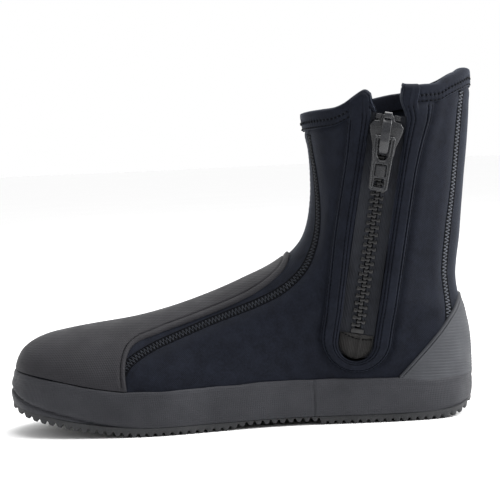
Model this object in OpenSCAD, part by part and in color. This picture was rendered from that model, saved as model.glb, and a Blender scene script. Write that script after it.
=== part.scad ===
// Neoprene dive boot for the right foot, with a zip on its inner side and a vulcanised rubber sole.
// Millimetres. +Z is up, the toe points to -X, the heel to +X and the zip faces -Y. The sole stands on z = 0.

/* [Upper] */
// Thickness of the neoprene panels
neoprene_t = 5; // [3:0.5:6]
// Thickness of the rubber laid over the toe and the heel
overlay_t = 1.3; // [0.8:0.1:2]
// Width of the folded hem round the collar
hem_h = 9.5; // [7:0.5:12]
// Tilt of the collar line, up towards the back, in degrees
collar_tilt = 13.2; // [12:0.2:14]
// Width of the tape glued over each seam inside
seam_tape_w = 12; // [8:1:16]

/* [Sole] */
// Thickness of the outsole, tread included
outsole_t = 4.6; // [4:0.2:6]
// Depth of the grooves between the tread bars
tread_depth = 1.4; // [1:0.1:2]
// Distance from one tread bar to the next
tread_pitch = 5; // [4:0.5:8]
// How far the toe end of the sole lifts off the ground
toe_spring = 15; // [8:1:18]
// How far the back end of the heel lifts off the ground
heel_rise = 7; // [2:1:9]
// Lift of the waist between the forefoot and the heel
waist_lift = 2.4; // [1:0.2:3]
// Thickness of the rubber band round the upper
band_t = 3.1; // [2:0.1:4]

/* [Zip] */
// Lean of the zip towards the heel, in degrees
zip_lean = 10.5; // [9:0.5:12]
// Distance between two teeth on one tape
tooth_pitch = 4.5; // [4:0.1:5]
// Number of teeth on each tape
tooth_count = 28; // [20:1:28]
// Travel of the slider, down from where it is closed
slider_travel = 105; // [60:1:105]
// Length of the pull tab
pull_l = 33; // [28:1:40]

/* [Hidden] */

neoprene = "#23262e";
rubber = "#47484b";
tape_grey = "#3c3d40";
plastic = "#4b4d52";
black = "#17181a";
foam = "#8a8c90";
clear = 0.4;            // gap left between two layers that touch

// Side outlines of the upper as [x, z]: over the toe, the instep and the shin, then under and up the back.
front_line = [[-151, 0], [-150, 20], [-147, 37], [-141.5, 48.5], [-131.5, 56.5], [-117, 60.8], [-93, 64.1],
  [-60, 68.9], [-28, 77.4], [0, 88], [16, 94.8], [28, 102.2], [36.8, 110.5], [41.6, 121], [44.3, 137],
  [44.7, 152], [43.8, 170], [41, 192], [39, 212]];
rear_line = [[-140, -66], [-110, -66], [-60, -66], [0, -66], [60, -62], [120, -45], [141, -10], [144.5, 10],
  [144.8, 25], [144.6, 40], [142.8, 50], [138.8, 62], [135.3, 72], [133.7, 84], [134.6, 95], [137, 110],
  [139, 130], [141.2, 150], [143.9, 172], [145.7, 193], [146, 222]];

// Every section of the upper lies on a ray from this point, which is on the collar line's extension.
pivot = [-200, 135];
// Half-width of each section as [ray angle, half-width]
section_w = [[-70, 40], [-60, 44], [-50, 49], [-42, 53], [-33.5, 54], [-25, 50], [-18, 45], [-12.4, 41],
  [-8, 39], [-3, 38.5], [5, 39], [14, 41]];
section_power = 2.2;    // 2 is an ellipse, and more is squarer

// Half-width and middle of the footprint as [x, half-width] and [x, y]
plan_w = [[-145.5, 0], [-142, 14], [-134.5, 26], [-120, 37], [-100, 45.5], [-75, 50.5], [-50, 51], [-20, 47],
  [10, 42], [40, 39], [70, 38], [95, 36.5], [115, 33.3], [127, 28], [134.5, 20.5], [141.5, 0]];
plan_y = [[-147, -10], [-125, -6.5], [-100, -3], [-75, -1], [-50, 0.3], [-20, 3.5], [20, 5], [60, 2.5],
  [100, 0], [144, 0]];
plan_blend = 500;       // rounding between the footprint walls and the sections, in square mm
fade_z = 60;            // height where the footprint starts to let go of the shape
fade_h = 50;            // height over which it lets go
fade_sq = 3000;         // more than any squared half-width

// Seams and edges on the side of the boot as [x, z]
front_seam = [[-86, 11.2], [-82, 24], [-75.5, 39], [-69, 46], [-56, 53.2], [-40, 59.3], [-22.5, 65.6],
  [-4.5, 71.6], [10, 76.8], [21.5, 82.2], [31, 89], [38.5, 97.2], [43.5, 107], [46.3, 116], [47.8, 128],
  [47.9, 141], [47, 155], [45.6, 168], [44.6, 181], [44, 192], [43, 206]];
back_seam = [[125, 16], [126, 50], [126.2, 71], [125, 90], [127.9, 115], [131.7, 138], [134.8, 162],
  [137.2, 182], [139.4, 201], [141, 216]];
guard_edge = [[-73.2, 27.2], [-74, 36], [-73.6, 44], [-71.6, 50.2], [-68.8, 53.4], [-64.3, 55.9],
  [-57, 58.3], [-48, 61.3], [-39, 64], [-30, 66.8], [-21.5, 69.6], [-12.5, 72.7], [-3.5, 76.2], [5.5, 80.2],
  [12.8, 84.3], [19.4, 88.8], [25, 93.5], [28.4, 98.2], [30.8, 104.6]];
upper_bottom = [[-145, 24.5], [-135, 21.5], [-120, 17.5], [-100, 13], [-86, 11.2], [-60, 9.5], [-20, 8.6],
  [60, 8], [100, 8.2], [125, 16]];
band_top = [[-149, 41], [-123, 36], [-95, 30], [-72, 26.8], [-30, 27.3], [40, 28], [90, 27], [115, 25],
  [146, 26.5]];

toe_spring_from = -60;  // x where the toe spring starts, with its power and length
toe_spring_power = 1.6;
toe_spring_l = 88;
heel_rise_from = 112;   // x where the heel starts to rise
heel_rise_l = 34;
waist_x = [-18, 42];    // where the waist is lifted

zip_foot = [68, -33.8, 54];  // middle of the tape at its lower end
zip_tilt = 1.35;        // how far the zip turns its face down, in degrees
zip_yaw = -6;           // how far it turns its face to the front
tape_t = 0.8;
tape_half = 10.9;
tape_edge = 1.7;        // inner edge of each tape, from the middle
tooth_t = 3;
collar_ray = collar_tilt;

// --- curves ---
function span(knots, s, i = 0) =
  i >= len(knots) - 2 || s < knots[i + 1][0] ? i : span(knots, s, i + 1);
function slope(knots, j) =
  let (a = max(j - 1, 0), b = min(j + 1, len(knots) - 1))
  (knots[b][1] - knots[a][1]) / (knots[b][0] - knots[a][0]);
// A smooth curve through [key, value] knots, straight beyond the last one
function track(knots, s) =
  let (i = span(knots, s), h = knots[i + 1][0] - knots[i][0], u = (s - knots[i][0]) / h,
    a = knots[i][1], b = knots[i + 1][1], m = slope(knots, i) * h, n = slope(knots, i + 1) * h)
  u < 0 ? a + u * m
  : u > 1 ? b + (u - 1) * n
  : a + u * m + u * u * (3 * (b - a) - 2 * m - n) + u * u * u * (m + n - 2 * (b - a));
function mix(a, b, u) = a + (b - a) * u;
function ease(u) = let (v = min(max(u, 0), 1)) v * v * (3 - 2 * v);
function polar(line) = [for (p = line) let (d = p - pivot) [atan2(d[1], d[0]), norm(d)]];
function on_ray(a, r) = pivot + r * [cos(a), sin(a)];

front_polar = polar(front_line);
rear_polar = polar(rear_line);
front_seam_polar = polar(front_seam);
back_seam_polar = polar(back_seam);
guard_polar = polar(guard_edge);
bottom_polar = polar(upper_bottom);
plan_sq = [for (k = plan_w) [k[0], k[1] * k[1]]];

// --- surface of the upper: |y - mid_y(x)| squared = half_sq(x, z) ---
function mid_y(x) = track(plan_y, x);
function section_sq(x, z) =
  let (d = [x, z] - pivot, a = atan2(d[1], d[0]), r0 = track(front_polar, a), r1 = track(rear_polar, a),
    q = abs(2 * (norm(d) - r0) / (r1 - r0) - 1), w = track(section_w, a))
  w * w * (1 - pow(q, section_power));
function half_sq(x, z) =
  let (a = section_sq(x, z), b = track(plan_sq, x) + fade_sq * ease((z - fade_z) / fade_h),
    h = max(plan_blend - abs(a - b), 0) / plan_blend)
  min(a, b) - h * h * plan_blend / 4;
step = 0.2;             // distance over which slopes are measured
function outward(x, y, z) =
  let (gx = (half_sq(x + step, z) - half_sq(x - step, z)) / (2 * step),
    gz = (half_sq(x, z + step) - half_sq(x, z - step)) / (2 * step),
    my = (mid_y(x + step) - mid_y(x - step)) / (2 * step), d = y - mid_y(x),
    g = [-2 * d * my - gx, 2 * d, -gz])
  g / norm(g);
// Point of the surface at [x, z] on one side (-1 medial, 1 lateral), moved out along its normal
function skin(p, side, out) =
  let (y = mid_y(p[0]) + side * sqrt(max(half_sq(p[0], p[1]), 0)))
  [p[0], y, p[1]] + out * outward(p[0], y, p[1]);

// Zero of half_sq between an outer and an inner point
function edge(outer, inner, n = 22) =
  n == 0 ? (outer + inner) / 2
  : let (m = (outer + inner) / 2) half_sq(m[0], m[1]) > 0 ? edge(outer, m, n - 1) : edge(m, inner, n - 1);
function front_r(a) = let (r = track(front_polar, a)) norm(edge(on_ray(a, r - 6), on_ray(a, r + 30)) - pivot);
function rear_r(a) = let (r = track(rear_polar, a)) norm(edge(on_ray(a, r + 6), on_ray(a, r - 30)) - pivot);

// --- solids from grids of points ---
function flat_list(rows) = [for (row = rows) for (p = row) p];
function present(gap, i, j, rows, cols, ring) =
  i >= 0 && i < rows && (ring || (j >= 0 && j < cols)) && !(i >= gap[0] && i < gap[1] && j >= gap[2] && j < gap[3]);
// Solid between two grids of the same size; gap = [row from, row to, column from, column to] is left open
// and flip turns it inside out, for a grid whose columns run the other way round
module shell(outer, inner, gap = [0, 0, 0, 0], ring = false, flip = false) {
  m = len(outer);
  n = len(outer[0]);
  cells = ring ? n : n - 1;
  base = m * n;
  function at(k, i, j) = k * base + i * n + j % n;
  faces = [for (i = [0:m - 2]) for (j = [0:cells - 1])
    if (present(gap, i, j, m - 1, cells, ring))
      let (a = at(0, i, j), b = at(0, i, j + 1), c = at(0, i + 1, j + 1), d = at(0, i + 1, j),
        e = a + base, f = b + base, g = c + base, h = d + base)
      for (face = concat(
        [[a, b, c], [a, c, d], [e, g, f], [e, h, g]],
        present(gap, i - 1, j, m - 1, cells, ring) ? [] : [[a, e, f], [a, f, b]],
        present(gap, i + 1, j, m - 1, cells, ring) ? [] : [[d, c, g], [d, g, h]],
        present(gap, i, j - 1, m - 1, cells, ring) ? [] : [[a, d, h], [a, h, e]],
        present(gap, i, j + 1, m - 1, cells, ring) ? [] : [[b, f, g], [b, g, c]]))
      flip ? face : [face[0], face[2], face[1]]];
  polyhedron(concat(flat_list(outer), flat_list(inner)), faces, convexity = 8);
}
// Solid through a row of closed sections with the same number of points
module loft(sections) {
  m = len(sections);
  n = len(sections[0]);
  walls = [for (i = [0:m - 2]) for (j = [0:n - 1])
    let (a = i * n + j, b = i * n + (j + 1) % n)
    for (f = [[a, b + n, b], [a, a + n, b + n]]) f];
  first = [for (j = [1:n - 2]) [0, j, j + 1]];
  last = [for (j = [1:n - 2]) [(m - 1) * n, (m - 1) * n + j + 1, (m - 1) * n + j]];
  polyhedron(flat_list(sections), concat(walls, first, last), convexity = 8);
}

// --- panels of the upper ---
function steps(n) = [for (i = [0:n]) i / n];
function spread(a, b, n) = [for (u = steps(n)) mix(a, b, u)];
// Grid over the front ridge: at each ray, from an edge on one side over the ridge to the other side
function ridge_grid(rays, edge_r, cols, out) =
  [for (a = rays) let (r0 = front_r(a), r1 = max(edge_r(a), r0 + 0.4))
    [for (f = spread(-1, 1, cols)) skin(on_ray(a, mix(r0, r1, f * f)), f < 0 ? -1 : 1, out)]];
// The same over the ridge at the back
function back_grid(rays, edge_r, cols, out) =
  [for (a = rays) let (r0 = rear_r(a), r1 = edge_r(a))
    [for (f = spread(-1, 1, cols)) skin(on_ray(a, mix(r0, r1, f * f)), f < 0 ? -1 : 1, out)]];
// Edges of the panels, as distance from the pivot along a ray
seam_gap = 0.15;        // half the gap between two butted panels
vamp_corner = front_seam_polar[0][0];
heel_corner = back_seam_polar[0][0];
function vamp_edge(a) = (a < vamp_corner ? track(bottom_polar, a) : track(front_seam_polar, a)) - seam_gap;
function back_edge(a) = track(back_seam_polar, a) + seam_gap;
function quarter_rear(a) = (a < heel_corner ? track(bottom_polar, a) : track(back_seam_polar, a)) - seam_gap;
function quarter_front(a) = track(front_seam_polar, a) + seam_gap;

quarter_rays = concat(spread(-46.4, heel_corner, 10), spread(heel_corner + 1.4, collar_ray, 18));

module front_panel() {
  rays = concat(spread(-64.3, -47.8, 8), quarter_rays);
  color(neoprene)
    shell(ridge_grid(rays, function(a) vamp_edge(a), 16, 0),
      ridge_grid(rays, function(a) vamp_edge(a), 16, -neoprene_t), flip = true);
}
module back_panel() {
  rays = spread(-20, collar_ray, 18);
  color(neoprene)
    shell(back_grid(rays, function(a) back_edge(a), 8, 0),
      back_grid(rays, function(a) back_edge(a), 8, -neoprene_t));
}
module lateral_quarter() {
  function grid(out) = [for (a = quarter_rays)
    [for (u = steps(16)) skin(on_ray(a, mix(quarter_front(a), quarter_rear(a), u)), 1, out)]];
  color(neoprene) shell(grid(0), grid(-neoprene_t), flip = true);
}

// --- zip opening: p runs across the zip towards the heel, s runs up along it ---
function zip_xz(p, s) =
  [zip_foot[0] + s * sin(zip_lean) + p * cos(zip_lean), zip_foot[2] + s * cos(zip_lean) - p * sin(zip_lean)];
// Distance from the pivot where a ray crosses the line at distance p from the zip's middle
function zip_r(a, p) =
  let (d = [pivot[0] - zip_foot[0], pivot[1] - zip_foot[2]])
  (p - d[0] * cos(zip_lean) + d[1] * sin(zip_lean)) / cos(a + zip_lean);
// How far up the zip a ray crosses its middle
function ray_s(a) =
  let (q = on_ray(a, zip_r(a, 0))) (q[1] - zip_foot[2]) / cos(zip_lean);
// How far up the zip a ray crosses the line at distance p
function p_top(p, a) =
  (pivot[1] - zip_foot[2] + p * sin(zip_lean) + tan(a) * (zip_foot[0] + p * cos(zip_lean) - pivot[0]))
    / (cos(zip_lean) - tan(a) * sin(zip_lean));
function s_ray(p, s) = let (d = zip_xz(p, s) - pivot) atan2(d[1], d[0]);
slot_half = 12;         // half-width of the opening cut in the quarter
slot_top_half = 8;      // and at the collar, where its sides come together
slot_from = -17;        // lower end of the opening
narrow_from = 136;      // height along the zip where the opening starts to narrow
narrow_l = 16;
function narrow(wide, tight, s) = mix(wide, tight, ease((s - narrow_from) / narrow_l));

module medial_quarter() {
  slot_ray = s_ray(0, slot_from);
  low = [for (a = quarter_rays) if (a < slot_ray - 0.5) a];
  rays = concat(low, [slot_ray], [for (a = quarter_rays) if (a > slot_ray + 0.5) a]);
  front_cols = 9;
  rear_cols = 8;
  slot_cols = 4;
  function row(a, out) = let (h = narrow(slot_half, slot_top_half, ray_s(a)), f = quarter_front(a),
      r = quarter_rear(a), b = min(zip_r(a, -h), mix(f, r, 0.6)), c = min(zip_r(a, h), mix(b, r, 0.7)))
    [for (q = concat(spread(f, b, front_cols), [for (u = [1:slot_cols - 1]) mix(b, c, u / slot_cols)],
      spread(c, r, rear_cols))) skin(on_ray(a, q), -1, out)];
  first_gap_row = len(low);
  color(neoprene)
    shell([for (a = rays) row(a, 0)], [for (a = rays) row(a, -neoprene_t)],
      gap = [first_gap_row, len(rays), front_cols, front_cols + slot_cols]);
}
module toe_guard() {
  // Down to the rubber band in front, and along the guard's own edge behind it
  band_polar = polar([for (x = [-146.5, -138, -123, -108, -94, -83, -73.2]) [x, track(band_top, x) + clear]]);
  corner = band_polar[6][0];
  function guard_r(a) = a < corner ? track(band_polar, a) : track(guard_polar, a);
  rays = concat(spread(-58.6, -47, 6), spread(-45, corner, 3), spread(corner + 1.8, -29, 7), spread(-27, -8, 9));
  color(rubber)
    shell(ridge_grid(rays, function(a) guard_r(a), 16, overlay_t + clear),
      ridge_grid(rays, function(a) guard_r(a), 16, clear), flip = true);
}

// --- rings at a height that changes along the boot ---
function rear_x(z) = edge([track([for (k = rear_line) if (k[1] >= -10 && k[0] > 130) [k[1], k[0]]], z) + 4, z],
  [100, z])[0];
// One closed ring: half angles around the footprint at height z_of(x)
function ring_ends(z_of, from, to, n = 24) =
  n == 0 ? (from + to) / 2
  : let (m = (from + to) / 2) half_sq(m, z_of(m)) > 0 ? ring_ends(z_of, from, m, n - 1)
    : ring_ends(z_of, m, to, n - 1);
function ring_row(z_of, count, out) =
  let (a = ring_ends(z_of, -160, -100), b = ring_ends(z_of, 160, 100), m = (a + b) / 2, h = (b - a) / 2)
  [for (i = [0:count - 1]) let (t = 360 * i / count, x = m - h * cos(t))
    skin([x, z_of(x)], t < 180 ? -1 : 1, out)];

function toe_lift(x) = toe_spring * pow(max(0, toe_spring_from - x) / toe_spring_l, toe_spring_power);
function heel_lift(x) = heel_rise * pow(max(0, x - heel_rise_from) / heel_rise_l, 2);
function bed(x) = toe_lift(x) + heel_lift(x);
function waist(x) = waist_lift * ease((x - waist_x[0]) / 18) * ease((waist_x[1] - x) / 3 + 1);

module foxing_band() {
  cols = 88;
  lows = [0, 0.12, 0.4, 0.75, 0.95, 1];
  bulge = [band_t - 0.7, band_t, band_t, band_t - 0.3, band_t - 0.9, band_t - 1.5];
  function band_z(u) = function(x) mix(bed(x) + outsole_t + 2 * clear, track(band_top, x), u);
  color(rubber)
    shell([for (k = [0:5]) ring_row(band_z(lows[k]), cols, bulge[k])],
      [for (k = [0:5]) ring_row(band_z(lows[k]), cols, 1.3 * clear)], ring = true);
}
module heel_counter() {
  low_x = 92.5;
  low_z = 27.4;
  top_z = 75;
  cols = 18;
  rows = 9;
  function point(f, u) = let (w = 1 - f * f * 0.99, z0 = track(band_top, mix(low_x, 143, w)) + clear,
      z = mix(z0, max(mix(low_z, top_z, w), z0 + 0.5), u), x = mix(low_x, rear_x(z), w)) [x, z];
  function grid(out) = [for (u = steps(rows)) [for (f = spread(-1, 1, cols))
    skin(point(f, u), f < 0 ? -1 : 1, out)]];
  color(rubber) shell(grid(overlay_t + clear), grid(clear));
}
tape_film = 0.4;
// Tape glued inside over a seam; across(a, u) is its distance from the pivot at u = -1, 0 and 1 across it
module seam_tape(rays, across) {
  function grid(side, out) = [for (a = rays) [for (u = [-1, 0, 1]) skin(on_ray(a, across(a, u)), side, out)]];
  color(black) for (side = [-1, 1])
    shell(grid(side, -neoprene_t - clear), grid(side, -neoprene_t - clear - tape_film), flip = side > 0);
}
module seam_tape_front()
  seam_tape(spread(-45, 10.8, 26), function(a, u)
    max(track(front_seam_polar, a) + u * seam_tape_w / 2, front_r(a) + 2.2) + (u + 1) * 0.6);
module seam_tape_back()
  seam_tape(spread(-18, 11.4, 18), function(a, u)
    min(track(back_seam_polar, a) + u * seam_tape_w / 2, rear_r(a) - 2.5) + (u - 1) * 0.4);

// --- hem folded over the collar ---
module collar_binding() {
  t = 1.2;
  o = clear + t;
  i = -neoprene_t - clear - t;
  // Section as [outwards, up from the panels' edge]
  fold = [[o, -hem_h], [o, 0.5], [o - 0.6, o], [i + 0.6, o], [i, 0.5], [i, -hem_h], [i + t, -hem_h],
    [i + t, clear], [clear, clear], [clear, -hem_h]];
  a0 = collar_ray;
  r0 = front_r(a0);
  r1 = rear_r(a0);
  m = (r0 + r1) / 2;
  h = (r1 - r0) / 2;
  cut = slot_top_half + 0.4;
  // From the zip round the front to the lateral side, and round the back to the zip again
  from = acos((m - zip_r(a0, -cut)) / h);
  to = acos((m - zip_r(a0, cut)) / h) - 360;
  function at(t, w, v) = let (r = m - h * cos(t), a = a0 + v / r * 180 / PI, f = front_r(a), b = rear_r(a),
      q = mix(f, b, (1 - cos(t)) / 2)) skin(on_ray(a, q), sin(t) < 0 ? 1 : -1, w);
  color(neoprene) loft([for (t = spread(from, to, 56)) [for (q = fold) at(t, q[0], q[1])]]);
}

// --- zip ---
module zip_frame(s = 0)
  translate(zip_foot)
    rotate([0, zip_lean, 0]) rotate([zip_tilt, 0, 0]) rotate([0, 0, zip_yaw])
    translate([0, 0, s]) children();
facing_in = 11;         // inner edge of the facing, from the zip's middle
facing_out = 22;        // outer edge
facing_top_out = 25;
facing_in_low = -5;     // centre of the round inner end, along the zip
facing_out_low = -1;    // centre of the round outer end
module zip_facing() {
  top_ray = collar_ray - (hem_h + 2.5) / norm(on_ray(0, 300) - pivot) * 180 / PI;
  // Stations go down behind the zip, round its lower end and up in front. w is 0 at the inner edge, 1 outside
  function arc_end(t, w) = mix([facing_in * cos(t), facing_in_low - facing_in * sin(t)],
    [facing_out * cos(t), facing_out_low - facing_out * sin(t)], w);
  function leg(side, u, w) =
    let (low = arc_end(side > 0 ? 0 : 180, w), s = mix(low[1], p_top(low[0], top_ray), u),
      i = narrow(facing_in, slot_top_half + 0.6, s), o = mix(facing_out, facing_top_out, ease((s - 100) / 45)))
    [side * mix(i, o, w), s];
  function station(k, w) = k <= 1 ? leg(1, 1 - k, w) : k >= 2 ? leg(-1, k - 2, w) : arc_end((k - 1) * 180, w);
  ks = concat(spread(0, 0.94, 14), spread(1, 2, 16), spread(2.06, 3, 14));
  puff = [0.5, 2.2, 2.9, 2.9, 2.2, 0.5];
  ws = [0, 0.12, 0.35, 0.65, 0.88, 1];
  function grid(out) = [for (k = ks) [for (j = [0:5])
    let (q = station(k, ws[j])) skin(zip_xz(q[0], q[1]), -1, out(j))]];
  color(neoprene) shell(grid(function(j) puff[j]), grid(function(j) clear), flip = true);
}
// How deep the gusset's middle hangs under the surface as [distance up the zip, depth], clear of the slider
gusset_depth = [[-20, 7], [0, 9.2], [10, 10.4], [20, 10.8], [30, 10.3], [45, 8.7], [60, 7.7], [90, 7.5], [132, 7.5]];
gusset_half = 19;
gusset_t = 1.2;
module zip_gusset() {
  function depth(p, s) = abs(p) > 15 ? neoprene_t + clear : track(gusset_depth, s);
  function grid(t) = [for (s = spread(-20, 132, 20)) [for (p = spread(-gusset_half, gusset_half, 6))
    skin(zip_xz(p, s), -1, -depth(p, s) - t)]];
  color(black) shell(grid(0), grid(gusset_t));
}
stop_h = 3;
teeth_from = 6;
tape_from = -13;
tape_to = 136;
slider_s = teeth_from + slider_travel + 10;  // middle of the closed slider, along the zip
module zip_tape(side)
  color(tape_grey) zip_frame() translate([side * (tape_half + tape_edge) / 2, 0, (tape_from + tape_to) / 2])
    cube([tape_half - tape_edge, tape_t, tape_to - tape_from], center = true);
tooth_l = 5.6;          // from root to head
tooth_w = 2;
module tooth()
  // Seen from the front: a straight root and a head that widens
  rotate([90, 0, 0]) linear_extrude(tooth_t, center = true)
    polygon([[-4.3, -0.8], [-0.6, -0.8], [-0.2, -tooth_w / 2], [1, -tooth_w / 2], [tooth_l - 4.3, -0.6],
      [tooth_l - 4.3, 0.6], [1, tooth_w / 2], [-0.2, tooth_w / 2], [-0.6, 0.8], [-4.3, 0.8]]);
module zip_teeth(side) {
  shift = side < 0 ? 0 : tooth_pitch / 2;
  count = side < 0 ? tooth_count : tooth_count - 1;
  color(black) zip_frame() difference() {
    for (k = [0:count - 1])
      translate([0, 0, teeth_from + k * tooth_pitch + shift]) mirror([side > 0 ? 1 : 0, 0, 0]) tooth();
    translate([side * (tape_half / 2 + tape_edge - 0.1), 0, 60])
      cube([tape_half, tape_t + 0.04, 180], center = true);
  }
}
module zip_tape_front() { zip_tape(-1); }
module zip_tape_rear() { zip_tape(1); }
module zip_teeth_front() { zip_teeth(-1); }
module zip_teeth_rear() { zip_teeth(1); }
module zip_top_stops()
  // A clip round each tape just above the slider's shoulders
  color(plastic) for (side = [-1, 1], f = [-1, 1])
    zip_frame(tape_to - 2) translate([side * 5.6, f * ((tooth_t + tape_t) / 4 + 0.02), 0])
      cube([3.8, (tooth_t - tape_t) / 2, 3.2], center = true);
module zip_bottom_stop()
  color(black) zip_frame(2.6) translate([0, -(tooth_t + tape_t) / 4 - 0.02, 0])
    cube([8, (tooth_t - tape_t) / 2, stop_h], center = true);
module zip_end_patch()
  color(tape_grey) zip_frame() translate([0, -tape_t / 2 - 0.05, 0]) rotate([90, 0, 0])
    linear_extrude(0.9) difference() {
      union() {
        translate([0, -4.5]) circle(10.2, $fn = 48);
        translate([-10.2, -4.5]) square([20.4, 5]);
      }
      translate([-15, 0.5]) square([30, 20]);
    }

// --- slider, in the frame of the zip with s = 0 at its middle ---
plate_t = 2.4;
plate_n = 1.75;         // inner face of the front plate, from the middle of the tape
crown_w = 5.6;
pull_axis = [0.5, 7.1]; // along the zip and outwards
pull_bar_r = 1.2;
module out_of_zip(n, t) translate([0, -n, 0]) rotate([90, 0, 0]) linear_extrude(t) children();
shield_side = [[3.4, 14.5], [4.6, 10.8], [8.4, 9.9], [10.3, 7.6], [9.9, 4], [7.2, -4.5], [6.8, -10.3]];
module slider_body()
  color(plastic) zip_frame(slider_s) union() {
    // Front plate: a nose between two shoulders, narrowing to the mouth
    out_of_zip(plate_n, plate_t)
      polygon(concat(shield_side, [for (k = [len(shield_side) - 1:-1:0]) [-shield_side[k][0], shield_side[k][1]]]));
    // Its sides, folded in over the teeth
    for (side = [-1, 1])
      out_of_zip(0.75, plate_n - 0.65)
        polygon([[side * 5.1, -10.3], [side * 6.8, -10.3], [side * 7.2, -4.5], [side * 9.9, 4],
          [side * 10.3, 7.6], [side * 8.9, 7.6], [side * 8.3, 4], [side * 5.1, -5.5]]);
  }
module slider_back_plate()
  color(plastic) zip_frame(slider_s) out_of_zip(-plate_n - 1.4, 1.4)
    polygon([[-3.4, 12], [3.4, 12], [8.4, 9.9], [9.9, 6.4], [6.8, -10.3], [-6.8, -10.3], [-9.9, 6.4], [-8.4, 9.9]]);
crown_n = plate_n + plate_t;
module slider_bridge()
  // A strap that stands on the plate at both ends and leaves room for the pull's bar
  color(plastic) zip_frame(slider_s) rotate([0, 90, 0]) rotate([0, 0, 180])
    linear_extrude(crown_w, center = true) difference() {
      polygon([[-9.8, crown_n], [-9.6, crown_n + 2.6], [-7.2, crown_n + 4.9], [-2, crown_n + 6.1],
        [4, crown_n + 6.1], [9.5, crown_n + 5], [12, crown_n + 4], [12.4, crown_n + 4.7], [15.9, crown_n + 4.4],
        [16.2, crown_n + 1], [14.4, crown_n]]);
      polygon([[-7.2, crown_n - 1], [-7.2, crown_n + 2.2], [-4.5, crown_n + 4], [-1, crown_n + 4.5],
        [3.5, crown_n + 4.4], [7.5, crown_n + 2.8], [8.5, crown_n - 1]]);
    }
pull_t = 2.2;
pull_top_half = 6.6;
pull_low_half = 5.6;
pull_hole = [3.1, 5.6];  // half-width and height of the hole at its lower end
module pull_tab() {
  hole_z = 2.8 - pull_l;
  color(plastic) zip_frame(slider_s) translate([0, -pull_axis[1], pull_axis[0]]) {
    rotate([0, 90, 0]) cylinder(h = 2 * pull_top_half - 1, r = pull_bar_r, center = true, $fn = 32);
    translate([0, pull_t / 2, 0]) rotate([90, 0, 0]) difference() {
      linear_extrude(pull_t) difference() {
        polygon([[-pull_top_half, 0], [-pull_low_half, 2 - pull_l], [-4.4, 0.8 - pull_l], [4.4, 0.8 - pull_l],
          [pull_low_half, 2 - pull_l], [pull_top_half, 0]]);
        translate([-3.6, -13.5]) square([7.2, 14.5]);
        translate([-pull_hole[0], hole_z]) square([2 * pull_hole[0], pull_hole[1]]);
      }
      // Shallow field between the hole and the bar above it, on both faces
      for (z = [pull_t - 0.5, -0.5])
        translate([-3.6, hole_z + pull_hole[1] + 0.6, z]) cube([7.2, 7, 1]);
    }
  }
}

// --- sole ---
// Outline of the footprint, moved out by d, as [x, y] points
function outline(d, count, x0 = plan_w[0][0], x1 = plan_w[len(plan_w) - 1][0]) =
  let (m = (x0 + x1) / 2, h = (x1 - x0) / 2)
  [for (i = [0:count - 1]) let (t = 360 * i / count, x = m - h * cos(t), e = 0.3,
      side = t < 180 ? -1 : 1, w = sqrt(max(track(plan_sq, x), 0)), y = mid_y(x) + side * w,
      g = [-(track(plan_sq, x + e) - track(plan_sq, x - e)) / (2 * e)
        - 2 * side * w * (mid_y(x + e) - mid_y(x - e)) / (2 * e), 2 * side * w])
    [x, y] + d * g / norm(g)];
// Layer that follows the bed of the sole
module slab(inset, low, high, count = 64) {
  ring = outline(-inset, count);
  half = count / 2;
  function level(z) = [for (q = ring) [q[0], q[1], bed(q[0]) + z]];
  pts = concat(level(low), level(high));
  walls = [for (i = [0:count - 1]) let (a = i, b = (i + 1) % count)
    for (f = [[a, a + count, b + count], [a, b + count, b]]) f];
  caps = [for (i = [0:half - 1]) let (a = i, b = i + 1, c = (count - i) % count, d = count - i - 1)
    for (f = concat(a == c ? [] : [[a, b, c], [a + count, c + count, b + count]],
      b == d ? [] : [[b, d, c], [b + count, c + count, d + count]])) f];
  polyhedron(pts, concat(walls, caps), convexity = 4);
}
module midsole() { color(foam) slab(2, outsole_t + clear, 6.6); }
module lasting_board() { color("#6a5c48") slab(7.2, 6.8, 8.3); }
module insole() { color(foam) slab(8, 8.4, 12.4); }
sole_flare = 2.2;       // how far the outsole stands out past the upper
module outsole() {
  bars = floor(292 / tread_pitch);
  function ground(x) = bed(x) + waist(x);
  lower = [for (k = [0:bars - 1]) let (x = -146 + k * tread_pitch)
    for (q = [[0, 0], [0.5, 0], [0.64, 1], [0.86, 1]])
      let (px = x + q[0] * tread_pitch) [px, ground(x + 0.25 * tread_pitch) + q[1] * tread_depth]];
  upper_x = spread(160, -160, 64);
  upper = [for (x = upper_x) [x, bed(x) + outsole_t]];
  color("#3a3b3e") intersection() {
    rotate([90, 0, 0]) linear_extrude(140, center = true)
      polygon(concat([[-160, toe_lift(-160)]], lower, [[160, heel_lift(160)]], upper));
    translate([0, 0, -5]) linear_extrude(60) polygon(outline(sole_flare, 90));
  }
}

outsole();
midsole();
lasting_board();
insole();
foxing_band();
toe_guard();
heel_counter();
front_panel();
medial_quarter();
lateral_quarter();
back_panel();
seam_tape_front();
seam_tape_back();
collar_binding();
zip_facing();
zip_gusset();
zip_tape_front();
zip_tape_rear();
zip_teeth_front();
zip_teeth_rear();
zip_top_stops();
zip_bottom_stop();
zip_end_patch();
slider_body();
slider_back_plate();
slider_bridge();
pull_tab();
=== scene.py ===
"""Looks of a neoprene dive boot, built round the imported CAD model.

Shapes are worked out in millimetres in the model's own frame: +Z is up, the toe points to -X and the
zip faces -Y.
"""
import math

import bmesh
import bpy
import numpy as np
from mathutils import Matrix, Vector


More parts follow.
